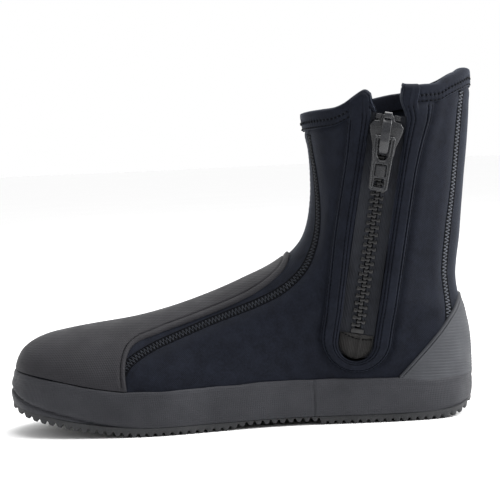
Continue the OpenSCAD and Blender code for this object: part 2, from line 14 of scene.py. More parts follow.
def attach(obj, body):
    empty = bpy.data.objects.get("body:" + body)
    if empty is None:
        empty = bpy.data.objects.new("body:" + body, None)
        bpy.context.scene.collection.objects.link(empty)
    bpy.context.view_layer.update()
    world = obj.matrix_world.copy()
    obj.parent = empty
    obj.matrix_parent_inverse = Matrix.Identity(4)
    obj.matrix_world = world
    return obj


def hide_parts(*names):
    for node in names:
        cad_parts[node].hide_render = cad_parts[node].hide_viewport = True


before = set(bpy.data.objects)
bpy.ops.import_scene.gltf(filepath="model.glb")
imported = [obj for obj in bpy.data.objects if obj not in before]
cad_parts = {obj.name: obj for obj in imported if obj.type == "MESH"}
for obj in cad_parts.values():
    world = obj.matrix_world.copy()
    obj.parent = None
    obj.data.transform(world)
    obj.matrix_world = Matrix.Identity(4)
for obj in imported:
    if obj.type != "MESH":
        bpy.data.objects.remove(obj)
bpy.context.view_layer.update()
MM = 0.001


# --- sizes of the CAD model ---
NEOPRENE = 5.0
OVERLAY = 1.3                    # rubber over the toe and the heel
CLEAR = 0.4                      # gap between one layer and the next
HEM = 9.5
SEAM_GAP = 0.15                  # from a seam's middle to each of its panels
COLLAR = 13.2                    # angle of the collar's ray
OUTSOLE = 4.6
TREAD = 1.4
PITCH = 5.0
SOLE_FLARE = 2.2                 # how far the sole stands out past the foot's outline
BAND = 3.1
TRAVEL_S = 121.0                 # middle of the closed slider, up along the zip
PULL_LENGTH = 33.0

FRONT_LINE = [(-151, 0), (-150, 20), (-147, 37), (-141.5, 48.5), (-131.5, 56.5), (-117, 60.8), (-93, 64.1),
              (-60, 68.9), (-28, 77.4), (0, 88), (16, 94.8), (28, 102.2), (36.8, 110.5), (41.6, 121),
              (44.3, 137), (44.7, 152), (43.8, 170), (41, 192), (39, 212)]
REAR_LINE = [(-140, -66), (-110, -66), (-60, -66), (0, -66), (60, -62), (120, -45), (141, -10), (144.5, 10),
             (144.8, 25), (144.6, 40), (142.8, 50), (138.8, 62), (135.3, 72), (133.7, 84), (134.6, 95),
             (137, 110), (139, 130), (141.2, 150), (143.9, 172), (145.7, 193), (146, 222)]
PIVOT = np.array([-200.0, 135.0])
SECTION_W = np.array([(-70, 40), (-60, 44), (-50, 49), (-42, 53), (-33.5, 54), (-25, 50), (-18, 45),
                      (-12.4, 41), (-8, 39), (-3, 38.5), (5, 39), (14, 41)], float)
SECTION_POWER = 2.2
PLAN_W = np.array([(-145.5, 0), (-142, 14), (-134.5, 26), (-120, 37), (-100, 45.5), (-75, 50.5), (-50, 51),
                   (-20, 47), (10, 42), (40, 39), (70, 38), (95, 36.5), (115, 33.3), (127, 28),
                   (134.5, 20.5), (141.5, 0)], float)
PLAN_Y = np.array([(-147, -10), (-125, -6.5), (-100, -3), (-75, -1), (-50, 0.3), (-20, 3.5), (20, 5),
                   (60, 2.5), (100, 0), (144, 0)], float)
PLAN_SQ = np.stack([PLAN_W[:, 0], PLAN_W[:, 1] ** 2], 1)
FRONT_SEAM = [(-86, 11.2), (-82, 24), (-75.5, 39), (-69, 46), (-56, 53.2), (-40, 59.3), (-22.5, 65.6),
              (-4.5, 71.6), (10, 76.8), (21.5, 82.2), (31, 89), (38.5, 97.2), (43.5, 107), (46.3, 116),
              (47.8, 128), (47.9, 141), (47, 155), (45.6, 168), (44.6, 181), (44, 192), (43, 206)]
BACK_SEAM = [(125, 16), (126, 50), (126.2, 71), (125, 90), (127.9, 115), (131.7, 138), (134.8, 162),
             (137.2, 182), (139.4, 201), (141, 216)]
GUARD_EDGE = [(-73.2, 27.2), (-74, 36), (-73.6, 44), (-71.6, 50.2), (-68.8, 53.4), (-64.3, 55.9),
              (-57, 58.3), (-48, 61.3), (-39, 64), (-30, 66.8), (-21.5, 69.6), (-12.5, 72.7), (-3.5, 76.2),
              (5.5, 80.2), (12.8, 84.3), (19.4, 88.8), (25, 93.5), (28.4, 98.2), (30.8, 104.6)]
UPPER_BOTTOM = [(-145, 24.5), (-135, 21.5), (-120, 17.5), (-100, 13), (-86, 11.2), (-60, 9.5), (-20, 8.6),
                (60, 8), (100, 8.2), (125, 16)]
BAND_TOP = np.array([(-149, 41), (-123, 36), (-95, 30), (-72, 26.8), (-30, 27.3), (40, 28), (90, 27),
                     (115, 25), (146, 26.5)], float)
# Height of the crease between the band and the part of the sole that is turned up round the toe
TOE_CREASE = np.array([(-150, 31), (-145, 28.9), (-139, 23.8), (-124, 18), (-103, 12), (-89, 8), (-67, 4.9),
                       (-40, 4.4), (150, 4.4)], float)
# How far the collar's edge stands off its straight line, along x, on each side
WAVE = {-1: np.array([(37, -1.8), (43, -2), (51, -3.2), (59.6, -4.4), (66, -3.6), (72, -1.6), (77, -0.3),
                      (81, 0.2), (84, -0.8), (88, -4.2), (92, -4.4), (98, -2.6), (102, -2.4), (107, -4.4),
                      (116, -6.2), (124, -7.4), (130, -5.6), (139, -3.6), (144, -2.6), (148, -4.6)], float),
        1: np.array([(37, -1.8), (60, -4.2), (85, -4.9), (100, -5.6), (112, -7), (132, -5.6), (142, -3.4),
                     (148, -4.6)], float)}

ZIP_FOOT = np.array([68, -33.8, 54.0])
ZIP_LEAN, ZIP_TILT, ZIP_YAW = 10.5, 1.35, -6.0
LEAN_COS, LEAN_SIN = math.cos(math.radians(ZIP_LEAN)), math.sin(math.radians(ZIP_LEAN))
TAPE = 0.8
TAPE_HALF = 10.9
TAPE_EDGE = 1.7
TAPE_FROM, TAPE_TO = -13.0, 136.0
TOOTH_PITCH, TOOTH_COUNT, TEETH_FROM, TOOTH_T = 4.5, 28, 6.0, 3.0
SLOT_HALF, SLOT_TOP_HALF, SLOT_FROM = 12.0, 8.0, -17.0
NARROW_FROM, NARROW_L = 136.0, 16.0
FACING_IN, FACING_OUT, FACING_TOP_OUT = 11.0, 22.0, 25.0
FACING_IN_LOW, FACING_OUT_LOW = -5.0, -1.0
GUSSET_HALF = 19.0
GUSSET_DEPTH = np.array([(-20, 7), (0, 9.2), (10, 10.4), (20, 10.8), (30, 10.3), (45, 8.7), (60, 7.7),
                         (90, 7.5), (132, 7.5)], float)


# --- curves ---


def track(knots, s):
    """A smooth curve through (key, value) knots, straight beyond the last one."""
    keys, values = knots[:, 0], knots[:, 1]
    s = np.asarray(s, float)
    last = len(keys) - 1
    i = np.clip(np.searchsorted(keys, s, side="right") - 1, 0, last - 1)
    before, after = np.clip(np.arange(last + 1) - 1, 0, last), np.clip(np.arange(last + 1) + 1, 0, last)
    slope = (values[after] - values[before]) / (keys[after] - keys[before])
    h = keys[i + 1] - keys[i]
    u, a, b, m, n = (s - keys[i]) / h, values[i], values[i + 1], slope[i] * h, slope[i + 1] * h
    inside = a + u * m + u * u * (3 * (b - a) - 2 * m - n) + u ** 3 * (m + n - 2 * (b - a))
    return np.where(u < 0, a + u * m, np.where(u > 1, b + (u - 1) * n, inside))


def mix(a, b, u):
    return a + (b - a) * u


def ease(u):
    v = np.clip(u, 0, 1)
    return v * v * (3 - 2 * v)


def hill(d, width):
    """1 at d = 0, fading to nothing over about twice the width."""
    return np.exp(-(d / width) ** 2)


def polar(line):
    d = np.array(line, float) - PIVOT
    return np.stack([np.degrees(np.arctan2(d[:, 1], d[:, 0])), np.hypot(d[:, 0], d[:, 1])], 1)


def on_ray(a, r):
    t = np.radians(a)
    return PIVOT[0] + r * np.cos(t), PIVOT[1] + r * np.sin(t)


FRONT_POLAR, REAR_POLAR = polar(FRONT_LINE), polar(REAR_LINE)
FRONT_SEAM_POLAR, BACK_SEAM_POLAR = polar(FRONT_SEAM), polar(BACK_SEAM)
GUARD_POLAR, BOTTOM_POLAR = polar(GUARD_EDGE), polar(UPPER_BOTTOM)


# --- surface of the upper ---


def mid_y(x):
    return track(PLAN_Y, x)


def section_sq(x, z):
    dx, dz = x - PIVOT[0], z - PIVOT[1]
    a = np.degrees(np.arctan2(dz, dx))
    r0, r1 = track(FRONT_POLAR, a), track(REAR_POLAR, a)
    q = np.abs(2 * (np.hypot(dx, dz) - r0) / (r1 - r0) - 1)
    return track(SECTION_W, a) ** 2 * (1 - q ** SECTION_POWER)


def half_sq(x, z):
    a, b = section_sq(x, z), track(PLAN_SQ, x) + 3000 * ease((z - 60) / 50)
    h = np.maximum(500 - np.abs(a - b), 0) / 500
    return np.minimum(a, b) - h * h * 125


def gradient(x, y, z):
    """Gradient of (y - mid_y) squared less half_sq, which is zero on the surface."""
    e = 0.2
    gx = (half_sq(x + e, z) - half_sq(x - e, z)) / (2 * e)
    gz = (half_sq(x, z + e) - half_sq(x, z - e)) / (2 * e)
    my = (mid_y(x + e) - mid_y(x - e)) / (2 * e)
    d = y - mid_y(x)
    return np.stack([-2 * d * my - gx, 2 * d, -gz], -1)


def outward(x, y, z):
    g = gradient(x, y, z)
    return g / np.linalg.norm(g, axis=-1, keepdims=True)


def collar_z(x):
    return PIVOT[1] + (x - PIVOT[0]) * math.tan(math.radians(COLLAR))


def warp(x, z, side):
    """Where a point of the even upper goes: the collar waves, and the zip's opening leans forward on top."""
    fade = ease((z - collar_z(x) + 42) / 40)
    lift = np.where(side < 0, track(WAVE[-1], x), track(WAVE[1], x)) * fade
    lean = -5.4 * ease((z - 184) / 18) * hill(x - 92, 17) * (np.asarray(side) < 0)
    return x + lean, z + lift


def skin(x, z, side, out=0.0):
    """Points of the upper's surface at (x, z) on a side (-1 medial, 1 lateral), moved out by its normal."""
    x, z = warp(x, z, side)
    y = mid_y(x) + side * np.sqrt(np.maximum(half_sq(x, z), 0))
    return np.stack([x, y, z], -1) + np.asarray(out)[..., None] * outward(x, y, z)


def edge(outer, inner):
    """Where half_sq is zero between two points."""
    outer, inner = [np.array(p) for p in outer], [np.array(p) for p in inner]
    for _ in range(24):
        m = [(p + q) / 2 for p, q in zip(outer, inner)]
        inside = half_sq(*m) > 0
        outer = [np.where(inside, p, q) for p, q in zip(outer, m)]
        inner = [np.where(inside, q, p) for p, q in zip(inner, m)]
    return (outer[0] + inner[0]) / 2, (outer[1] + inner[1]) / 2


def border_r(line, a, way):
    """Radius where the surface ends in front (way is 1) or behind (way is -1), close to a polar line."""
    r = track(line, a)
    x, z = edge(on_ray(a, r - 6 * way), on_ray(a, r + 30 * way))
    return np.hypot(x - PIVOT[0], z - PIVOT[1])


def front_r(a):
    return border_r(FRONT_POLAR, a, 1)


def rear_r(a):
    return border_r(REAR_POLAR, a, -1)


# --- zip's own plane: p across it towards the heel, s up along it, n out of it ---


def zip_xz(p, s):
    return ZIP_FOOT[0] + s * LEAN_SIN + p * LEAN_COS, ZIP_FOOT[2] + s * LEAN_COS - p * LEAN_SIN


def zip_r(a, p):
    """Radius where the ray at angle a crosses the line at p beside the zip."""
    dx, dz = PIVOT[0] - ZIP_FOOT[0], PIVOT[1] - ZIP_FOOT[2]
    return (p - dx * LEAN_COS + dz * LEAN_SIN) / np.cos(np.radians(a + ZIP_LEAN))


def ray_s(a):
    return (on_ray(a, zip_r(a, 0))[1] - ZIP_FOOT[2]) / LEAN_COS


def collar_s(p):
    """How far up the zip the line at p beside it meets the collar's ray."""
    t = math.tan(math.radians(COLLAR))
    rise = PIVOT[1] - ZIP_FOOT[2] + p * LEAN_SIN + t * (ZIP_FOOT[0] + p * LEAN_COS - PIVOT[0])
    return rise / (LEAN_COS - t * LEAN_SIN)


def narrow(wide, tight, s):
    return mix(wide, tight, ease((s - NARROW_FROM) / NARROW_L))


def facing_half(s):
    """Half of the facing's width, at s up along the zip."""
    return mix(FACING_OUT, FACING_TOP_OUT, ease((s - 100) / 45))


ZIP_TURN = np.array(Matrix.Rotation(math.radians(ZIP_LEAN), 3, "Y")
                    @ Matrix.Rotation(math.radians(ZIP_TILT), 3, "X")
                    @ Matrix.Rotation(math.radians(ZIP_YAW), 3, "Z"))


def zip_point(p, s, n=0.0):
    p, s, n = np.broadcast_arrays(np.asarray(p, float), np.asarray(s, float), np.asarray(n, float))
    return ZIP_FOOT + np.stack([p, -n, s], -1) @ ZIP_TURN.T


# --- relief of the neoprene near its seams and edges ---


def seam_points(polar_line, low, high, count=260):
    a = np.linspace(low, high, count)
    return np.stack(on_ray(a, track(polar_line, a)), -1)


def far_from(line, x, z):
    """Distance from each (x, z) to a line of points, and how far along the line the nearest point is."""
    a, d = line[:-1], np.diff(line, axis=0)
    along = np.concatenate([[0], np.cumsum(np.hypot(d[:, 0], d[:, 1]))])
    best, where = np.full(x.shape, 1e9), np.zeros(x.shape)
    for k in range(len(d)):
        ux, uz = x - a[k, 0], z - a[k, 1]
        u = np.clip((ux * d[k, 0] + uz * d[k, 1]) / (d[k] @ d[k]), 0, 1)
        r = np.hypot(ux - u * d[k, 0], uz - u * d[k, 1])
        near = r < best
        best = np.where(near, r, best)
        where = np.where(near, mix(along[k], along[k + 1], u), where)
    return best, where


FRONT_SEAM_LINE = seam_points(FRONT_SEAM_POLAR, -47.2, COLLAR, 90)
BACK_SEAM_LINE = seam_points(BACK_SEAM_POLAR, -20, COLLAR, 60)
STITCH = 2.4                     # length of one stitch along a seam


def swell(x, z):
    """Slow, small unevenness of soft foam."""
    return (np.sin(x / 19 + z / 31) + np.sin(z / 15 - x / 47 + 1.3) + np.sin(x / 11 - z / 23 + 4.1)) / 3


def relief(x, z, side):
    """How far the neoprene's face stands out of its even surface."""
    out = 0.3 * swell(x, z)
    for line in (FRONT_SEAM_LINE, BACK_SEAM_LINE):
        d, s = far_from(line, x, z)
        pucker = 0.1 * np.cos(2 * np.pi * s / STITCH) * hill(d - 3, 1.6)
        out = out - 0.75 * hill(d, 3.2) + 0.45 * hill(d - 7, 3.4) + pucker
    below = collar_z(x) - z - HEM
    out = out + 0.35 * hill(below - 5, 4) - 0.5 * hill(below, 1.6)
    dx, dz = x - ZIP_FOOT[0], z - ZIP_FOOT[2]
    p, s = dx * LEAN_COS - dz * LEAN_SIN, dx * LEAN_SIN + dz * LEAN_COS
    off = np.where(s > FACING_OUT_LOW, np.abs(p), np.hypot(p, s - FACING_OUT_LOW)) - facing_half(s)
    return out + np.where(np.asarray(side) < 0, 0.4 * hill(off - 4.5, 3) - 0.4 * hill(off, 1.8), 0)


# --- meshes ---


def grid_faces(m, n, ring, hole):
    """Faces of a solid between two m by n grids, less the cells of hole = (row, column from, column to)."""
    cells = np.ones((m - 1, n if ring else n - 1), bool)
    if hole:
        cells[hole[0]:, hole[1]:hole[2]] = False
    i, j = np.nonzero(cells)
    k = (j + 1) % n
    a, b, c, d = i * n + j, i * n + k, (i + 1) * n + k, (i + 1) * n + j
    base = m * n
    faces = [np.stack([a, b, c, d], 1), np.stack([a, d, c, b], 1) + base]
    padded = np.pad(cells, 1)
    if ring:
        padded[:, 0], padded[:, -1] = padded[:, -2], padded[:, 1]
    for (di, dj), (p, q) in {(-1, 0): (a, b), (0, 1): (b, c), (1, 0): (c, d), (0, -1): (d, a)}.items():
        rim = ~padded[i + 1 + di, j + 1 + dj]
        faces.append(np.stack([q, p, p + base, q + base], 1)[rim])
    return np.concatenate(faces)


def piece(name, verts, faces, paint, body="boot", smooth=35):
    """An object from points in millimetres. It stands for the CAD node of its name, if there is one."""
    mesh = bpy.data.meshes.new(name)
    mesh.from_pydata((np.asarray(verts) * MM).tolist(), [], [list(f) for f in faces])
    work = bmesh.new()
    work.from_mesh(mesh)
    bmesh.ops.remove_doubles(work, verts=work.verts, dist=1e-7)
    bmesh.ops.recalc_face_normals(work, faces=work.faces)
    work.to_mesh(mesh)
    work.free()
    mesh.shade_smooth()
    mesh.set_sharp_from_angle(angle=math.radians(smooth))
    mesh.materials.append(paint)
    obj = bpy.data.objects.new(name, mesh)
    bpy.context.scene.collection.objects.link(obj)
    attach(obj, body)
    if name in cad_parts:
        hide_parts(name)
    return obj


def shell(name, outer, inner, paint, ring=False, hole=None, **kind):
    """A solid between an outer and an inner grid of points."""
    m, n = outer.shape[:2]
    verts = np.concatenate([outer.reshape(-1, 3), inner.reshape(-1, 3)])
    return piece(name, verts, grid_faces(m, n, ring, hole).tolist(), paint, **kind)


def tube_faces(m, n):
    """Faces of a closed tube through m rings of n points, with flat ends."""
    i, j = np.meshgrid(np.arange(m - 1), np.arange(n), indexing="ij")
    k = (j + 1) % n
    walls = np.stack([i * n + j, i * n + k, (i + 1) * n + k, (i + 1) * n + j], -1).reshape(-1, 4).tolist()
    return walls + [list(range(n))[::-1], list(range((m - 1) * n, m * n))]


def loft(name, sections, paint, **kind):
    """A solid through a row of closed sections, with flat ends."""
    return piece(name, sections.reshape(-1, 3), tube_faces(*sections.shape[:2]), paint, **kind)


class Bundle:
    """Many small tubes and copies that become one piece."""

    def __init__(self):
        self.verts, self.faces, self.count = [], [], 0

    def add(self, verts, faces):
        self.verts.append(np.asarray(verts))
        self.faces += [[k + self.count for k in face] for face in faces]
        self.count += len(verts)

    def tube(self, points, normals, radius, sides=6):
        """A closed tube along points. radius is one number or one for each point."""
        points = np.asarray(points)
        along = np.gradient(points, axis=0)
        along /= np.linalg.norm(along, axis=1, keepdims=True)
        across = np.cross(along, normals)
        across /= np.linalg.norm(across, axis=1, keepdims=True)
        up = np.cross(across, along)
        t = 2 * np.pi * np.arange(sides) / sides
        r = np.broadcast_to(radius, len(points))[:, None, None]
        ring = points[:, None] + r * (np.cos(t)[:, None] * across[:, None] + np.sin(t)[:, None] * up[:, None])
        self.add(ring.reshape(-1, 3), tube_faces(len(points), sides))

    def build(self, name, paint, **kind):
        return piece(name, np.concatenate(self.verts), self.faces, paint, **kind)


def rounded(corners, radius, steps=4):
    """An outline with each corner turned into an arc. radius is one number or one for each corner."""
    corners = np.array(corners, float)
    n = len(corners)
    radii = np.broadcast_to(radius, n)
    found = []
    for k in range(n):
        a, b, c = corners[k - 1], corners[k], corners[(k + 1) % n]
        u, v = (a - b) / np.linalg.norm(a - b), (c - b) / np.linalg.norm(c - b)
        half = math.acos(np.clip(u @ v, -1, 1)) / 2
        cut = min(radii[k] / math.tan(half), 0.48 * np.linalg.norm(a - b), 0.48 * np.linalg.norm(c - b))
        if cut < 0.02 or half > 1.54:
            found.append(b)
            continue
        p, q = b + u * cut, b + v * cut
        for t in np.linspace(0, 1, steps + 1):
            found.append((1 - t) ** 2 * p + 2 * t * (1 - t) * b + t * t * q)
    return found


def plate(outlines, thick, bevel, steps=2):
    """Points and faces of a flat plate with round edges. The first outline is its edge, the rest are holes."""
    curve = bpy.data.curves.new("plate", "CURVE")
    curve.dimensions, curve.fill_mode = "2D", "BOTH"
    curve.extrude, curve.bevel_depth, curve.bevel_resolution = thick / 2 - bevel, bevel, steps
    curve.offset = -bevel
    for outline in outlines:
        spline = curve.splines.new("POLY")
        spline.points.add(len(outline) - 1)
        for point, q in zip(spline.points, outline):
            point.co = (q[0], q[1], 0, 1)
        spline.use_cyclic_u = True
    holder = bpy.data.objects.new("plate", curve)
    bpy.context.scene.collection.objects.link(holder)
    bpy.context.view_layer.update()
    mesh = bpy.data.meshes.new_from_object(holder.evaluated_get(bpy.context.evaluated_depsgraph_get()))
    verts = np.array([v.co for v in mesh.vertices], float)
    faces = [list(f.vertices) for f in mesh.polygons]
    bpy.data.objects.remove(holder)
    bpy.data.curves.remove(curve)
    bpy.data.meshes.remove(mesh)
    return verts, faces


# --- materials ---


class Paint:
    """A material whose nodes are added one at a time."""

    def __init__(self, name, slot, **sockets):
        self.material = bpy.data.materials.new(name)
        self.material.use_nodes = True
        self.material["slot"] = slot
        self.tree = self.material.node_tree
        self.shader = self.tree.nodes["Principled BSDF"]
        self.feed(self.shader, sockets)
        self.place = self.add("ShaderNodeTexCoord", out="Object")

    def feed(self, node, sockets):
        for key, value in sockets.items():
            socket = node.inputs[key if isinstance(key, int) else key.replace("_", " ")]
            if isinstance(value, bpy.types.NodeSocket):
                self.tree.links.new(value, socket)
            else:
                socket.default_value = value

    def add(self, kind, out=0, sockets=None, **settings):
        node = self.tree.nodes.new(kind)
        for key, value in settings.items():
            setattr(node, key, value)
        self.feed(node, sockets or {})
        return node.outputs[out]

    def noise(self, size, detail=2, rough=0.5):
        """Noise with features about size millimetres across."""
        return self.add("ShaderNodeTexNoise", sockets={"Vector": self.place, "Scale": 1000 / size,
                                                       "Detail": detail, "Roughness": rough})

    def math(self, operation, a, b=0.0, clamp=False):
        return self.add("ShaderNodeMath", operation=operation, use_clamp=clamp, sockets={0: a, 1: b})

    def range(self, value, low, high, to_low=0.0, to_high=1.0):
        return self.add("ShaderNodeMapRange", sockets={"Value": value, "From Min": low, "From Max": high,
                                                       "To Min": to_low, "To Max": to_high})

    def blend(self, factor, a, b):
        return self.add("ShaderNodeMix", data_type="RGBA", out=2, sockets={0: factor, 6: (*a, 1), 7: (*b, 1)})

    def waves(self, direction, pitch, place=None):
        """Ridges that repeat every pitch millimetres along a direction, from -1 to 1."""
        scaled = [2 * math.pi * 1000 / pitch * k for k in direction]
        dot = self.add("ShaderNodeVectorMath", operation="DOT_PRODUCT", out="Value",
                       sockets={0: place or self.place, 1: scaled})
        return self.math("SINE", dot)

    def bump(self, height, depth, strength=1.0):
        """Raises the surface by up to depth millimetres."""
        node = self.tree.nodes.new("ShaderNodeBump")
        self.feed(node, {"Height": height, "Distance": depth * MM, "Strength": strength})
        self.tree.links.new(node.outputs[0], self.shader.inputs["Normal"])


def neoprene_paint():
    p = Paint("neoprene_jersey", "neoprene", Roughness=0.7, Sheen_Weight=0.09, Sheen_Roughness=0.35,
              Sheen_Tint=(0.62, 0.74, 1.0, 1), Specular_IOR_Level=0.1)
    tone = p.range(p.math("ADD", p.noise(9, 3, 0.6), p.math("MULTIPLY", p.noise(1.3, 2, 0.6), 0.9)), 0.7, 1.2)
    p.feed(p.shader, {"Base Color": p.blend(tone, (0.0022, 0.003, 0.0062), (0.0058, 0.0074, 0.0132))})
    wales = p.math("MULTIPLY", p.waves((0.98, 0.2, 0), 1.1), p.waves((0, 0.1, 1), 1.4))
    p.bump(p.math("ADD", p.math("MULTIPLY", wales, 0.35), p.noise(1.0, 3, 0.7)), 0.2, 0.6)
    return p.material


def rubber_paint(name, slot, low, high, pitch, depth):
    """Moulded rubber with a diamond grain."""
    p = Paint(name, slot, Specular_IOR_Level=0.2, Sheen_Weight=0.02, Sheen_Roughness=0.5)
    grain = p.math("MULTIPLY", p.waves((0.72, 0.6, 0.72), pitch), p.waves((0.72, 0.6, -0.72), pitch))
    tone = p.math("ADD", p.range(p.noise(28, 4, 0.62), 0.3, 0.7), p.math("MULTIPLY", grain, 0.22), clamp=True)
    p.feed(p.shader, {"Base Color": p.blend(tone, low, high),
                      "Roughness": p.range(p.noise(11, 3), 0.3, 0.7, 0.53, 0.68)})
    p.bump(p.math("ADD", p.math("MULTIPLY", grain, 0.6), p.noise(0.9, 2, 0.6)), depth, 0.7)
    return p.material


def thread_paint(name, slot, low, high, shine=0.2):
    p = Paint(name, slot, Roughness=0.62, Specular_IOR_Level=shine, Sheen_Weight=shine * 0.4)
    p.feed(p.shader, {"Base Color": p.blend(p.noise(2.5, 1), low, high)})
    p.bump(p.waves((0.7, 0.2, 0.7), 0.5), 0.05)
    return p.material


def along_zip(p):
    """Coordinates that follow the zip: x across it, y along it, in metres."""
    turn = Matrix(ZIP_TURN.tolist()).transposed().to_euler()
    return p.add("ShaderNodeMapping", sockets={"Vector": p.place, "Rotation": turn})


def tape_paint():
    p = Paint("woven_tape", "zip_tape", Specular_IOR_Level=0.18, Sheen_Weight=0.04)
    own = along_zip(p)
    ribs, picks = p.waves((1, 0, 0), 0.95, own), p.waves((0, 0, 1), 0.8, own)
    weave = p.math("MULTIPLY", ribs, picks)
    tone = p.range(p.math("ADD", p.noise(6, 3), p.math("MULTIPLY", ribs, 0.16)), 0.2, 0.8)
    p.feed(p.shader, {"Base Color": p.blend(tone, (0.0036, 0.0044, 0.0072), (0.0098, 0.0114, 0.0165)),
                      "Roughness": p.range(p.noise(7), 0.3, 0.7, 0.48, 0.62)})
    p.bump(p.math("ADD", p.math("MULTIPLY", weave, 0.5), ribs), 0.09, 0.8)
    return p.material


def patch_paint():
    p = Paint("ribbed_patch", "zip_tape", Roughness=0.66, Specular_IOR_Level=0.25, Sheen_Weight=0.05)
    own = along_zip(p)
    ribs = p.waves((1, 0, 0), 1.0, own)
    tone = p.range(p.math("ADD", p.noise(3, 4, 0.7), p.math("MULTIPLY", ribs, 0.15)), 0.15, 0.85)
    p.feed(p.shader, {"Base Color": p.blend(tone, (0.0045, 0.0042, 0.0042), (0.0175, 0.0164, 0.016))})
    p.bump(p.math("ADD", p.waves((0, 0, 1), 0.7, own), ribs), 0.12, 0.8)
    return p.material


def plastic_paint(name, slot, low, high, rough, shine=0.5):
    p = Paint(name, slot, Specular_IOR_Level=shine)
    p.feed(p.shader, {"Base Color": p.blend(p.range(p.noise(6, 4, 0.7), 0.3, 0.7), low, high),
                      "Roughness": p.range(p.noise(2.2, 3), 0.3, 0.7, rough - 0.06, rough + 0.08)})
    p.bump(p.noise(1.5, 2, 0.5), 0.012, 0.6)
    return p.material


def plain_paint(name, slot, low, high, rough, size, depth):
    """Cloth, foam or board: two close tones and a fine grain."""
    p = Paint(name, slot, Roughness=rough, Specular_IOR_Level=0.25, Sheen_Weight=0.1)
    p.feed(p.shader, {"Base Color": p.blend(p.range(p.noise(size * 6, 3), 0.3, 0.7), low, high)})
    p.bump(p.noise(size, 3, 0.7), depth, 0.7)
    return p.material


NEOPRENE_PAINT = neoprene_paint()
GUARD_PAINT = rubber_paint("guard_rubber", "textured_rubber", (0.0105, 0.0102, 0.0125),
                           (0.018, 0.0175, 0.021), 1.9, 0.14)
BAND_PAINT = rubber_paint("band_rubber", "textured_rubber", (0.0155, 0.016, 0.0194), (0.0265, 0.0272, 0.032),
                          1.9, 0.18)
COUNTER_PAINT = rubber_paint("counter_rubber", "textured_rubber", (0.029, 0.0305, 0.035),
                             (0.043, 0.0452, 0.0512), 1.4, 0.06)
SOLE_PAINT = rubber_paint("sole_rubber", "sole_rubber", (0.018, 0.0185, 0.02), (0.03, 0.0306, 0.033),
                          2.3, 0.05)
THREAD_PAINT = thread_paint("grey_thread", "lining", (0.04, 0.044, 0.054), (0.105, 0.114, 0.135))
MID_THREAD_PAINT = thread_paint("slate_thread", "lining", (0.009, 0.0105, 0.0145), (0.03, 0.034, 0.043), 0.12)
# Black thread, darker than real thread and almost without shine: besides the thread, it paints the shade of
# needle holes, stitch grooves and the patch's upper edge
BLACK_THREAD_AND_SHADE_PAINT = thread_paint("black_thread_and_painted_shade", "lining", (0.0008, 0.0009, 0.0012),
                                 (0.002, 0.0022, 0.0028), 0.04)
TAPE_PAINT = tape_paint()
PATCH_PAINT = patch_paint()
TOOTH_PAINT = plastic_paint("tooth_plastic", "zip_plastic", (0.0025, 0.0025, 0.0029), (0.006, 0.006, 0.007),
                            0.2, 0.34)
SLIDER_PAINT = plastic_paint("slider_plastic", "slider_plastic", (0.009, 0.0095, 0.0112),
                             (0.018, 0.019, 0.0222), 0.26)
LINING_PAINT = plain_paint("jersey_lining", "lining", (0.006, 0.0065, 0.008), (0.012, 0.013, 0.016),
                           0.85, 0.8, 0.1)
FOAM_PAINT = plain_paint("midsole_foam", "foam", (0.13, 0.13, 0.14), (0.19, 0.19, 0.2), 0.9, 0.7, 0.2)
BOARD_PAINT = plain_paint("fibre_board", "board", (0.19, 0.15, 0.1), (0.29, 0.24, 0.17), 0.85, 0.5, 0.1)
FOOTBED_PAINT = plain_paint("footbed_jersey", "footbed", (0.018, 0.018, 0.021), (0.034, 0.034, 0.038),
                            0.88, 0.9, 0.12)


# --- panels of the upper ---


def sewn_r(line, a):
    """Radius of a seam, or of the upper's lower edge on the rays below the seam's end."""
    return np.where(a < line[0, 0], track(BOTTOM_POLAR, a), track(line, a))


def quarter_ends(a):
    return track(FRONT_SEAM_POLAR, a) + SEAM_GAP, sewn_r(BACK_SEAM_POLAR, a) - SEAM_GAP


def ridge(a, f, r0, r1):
    """Points (x, z) and sides of a grid over a ridge: rays a by places f from -1 (medial) to 1 (lateral)."""
    x, z = on_ray(a[:, None], mix(r0[:, None], r1[:, None], f ** 2))
    return x, z, np.where(f < 0, -1, 1) * np.ones_like(x)


def foam_panel(name, x, z, side, hole=None):
    outer, inner = skin(x, z, side, relief(x, z, side)), skin(x, z, side, -NEOPRENE)
    obj = shell(name, outer, inner, NEOPRENE_PAINT, hole=hole)


def front_panel():
    a = np.concatenate([np.linspace(-64.3, -47.8, 26), np.linspace(-47.3, COLLAR, 180)])
    r0 = front_r(a)
    r1 = np.maximum(sewn_r(FRONT_SEAM_POLAR, a) - SEAM_GAP, r0 + 0.4)
    foam_panel("front_panel", *ridge(a, np.linspace(-1, 1, 121), r0, r1))


def back_panel():
    a = np.linspace(-20, COLLAR, 130)
    seam = track(BACK_SEAM_POLAR, a) + SEAM_GAP
    foam_panel("back_panel", *ridge(a, np.linspace(-1, 1, 61), rear_r(a), seam))


def lateral_quarter():
    a = np.linspace(-46.6, COLLAR, 190)[:, None]
    x, z = on_ray(a, mix(*quarter_ends(a), np.linspace(0, 1, 130)))
    foam_panel("lateral_quarter", x, z, 1)


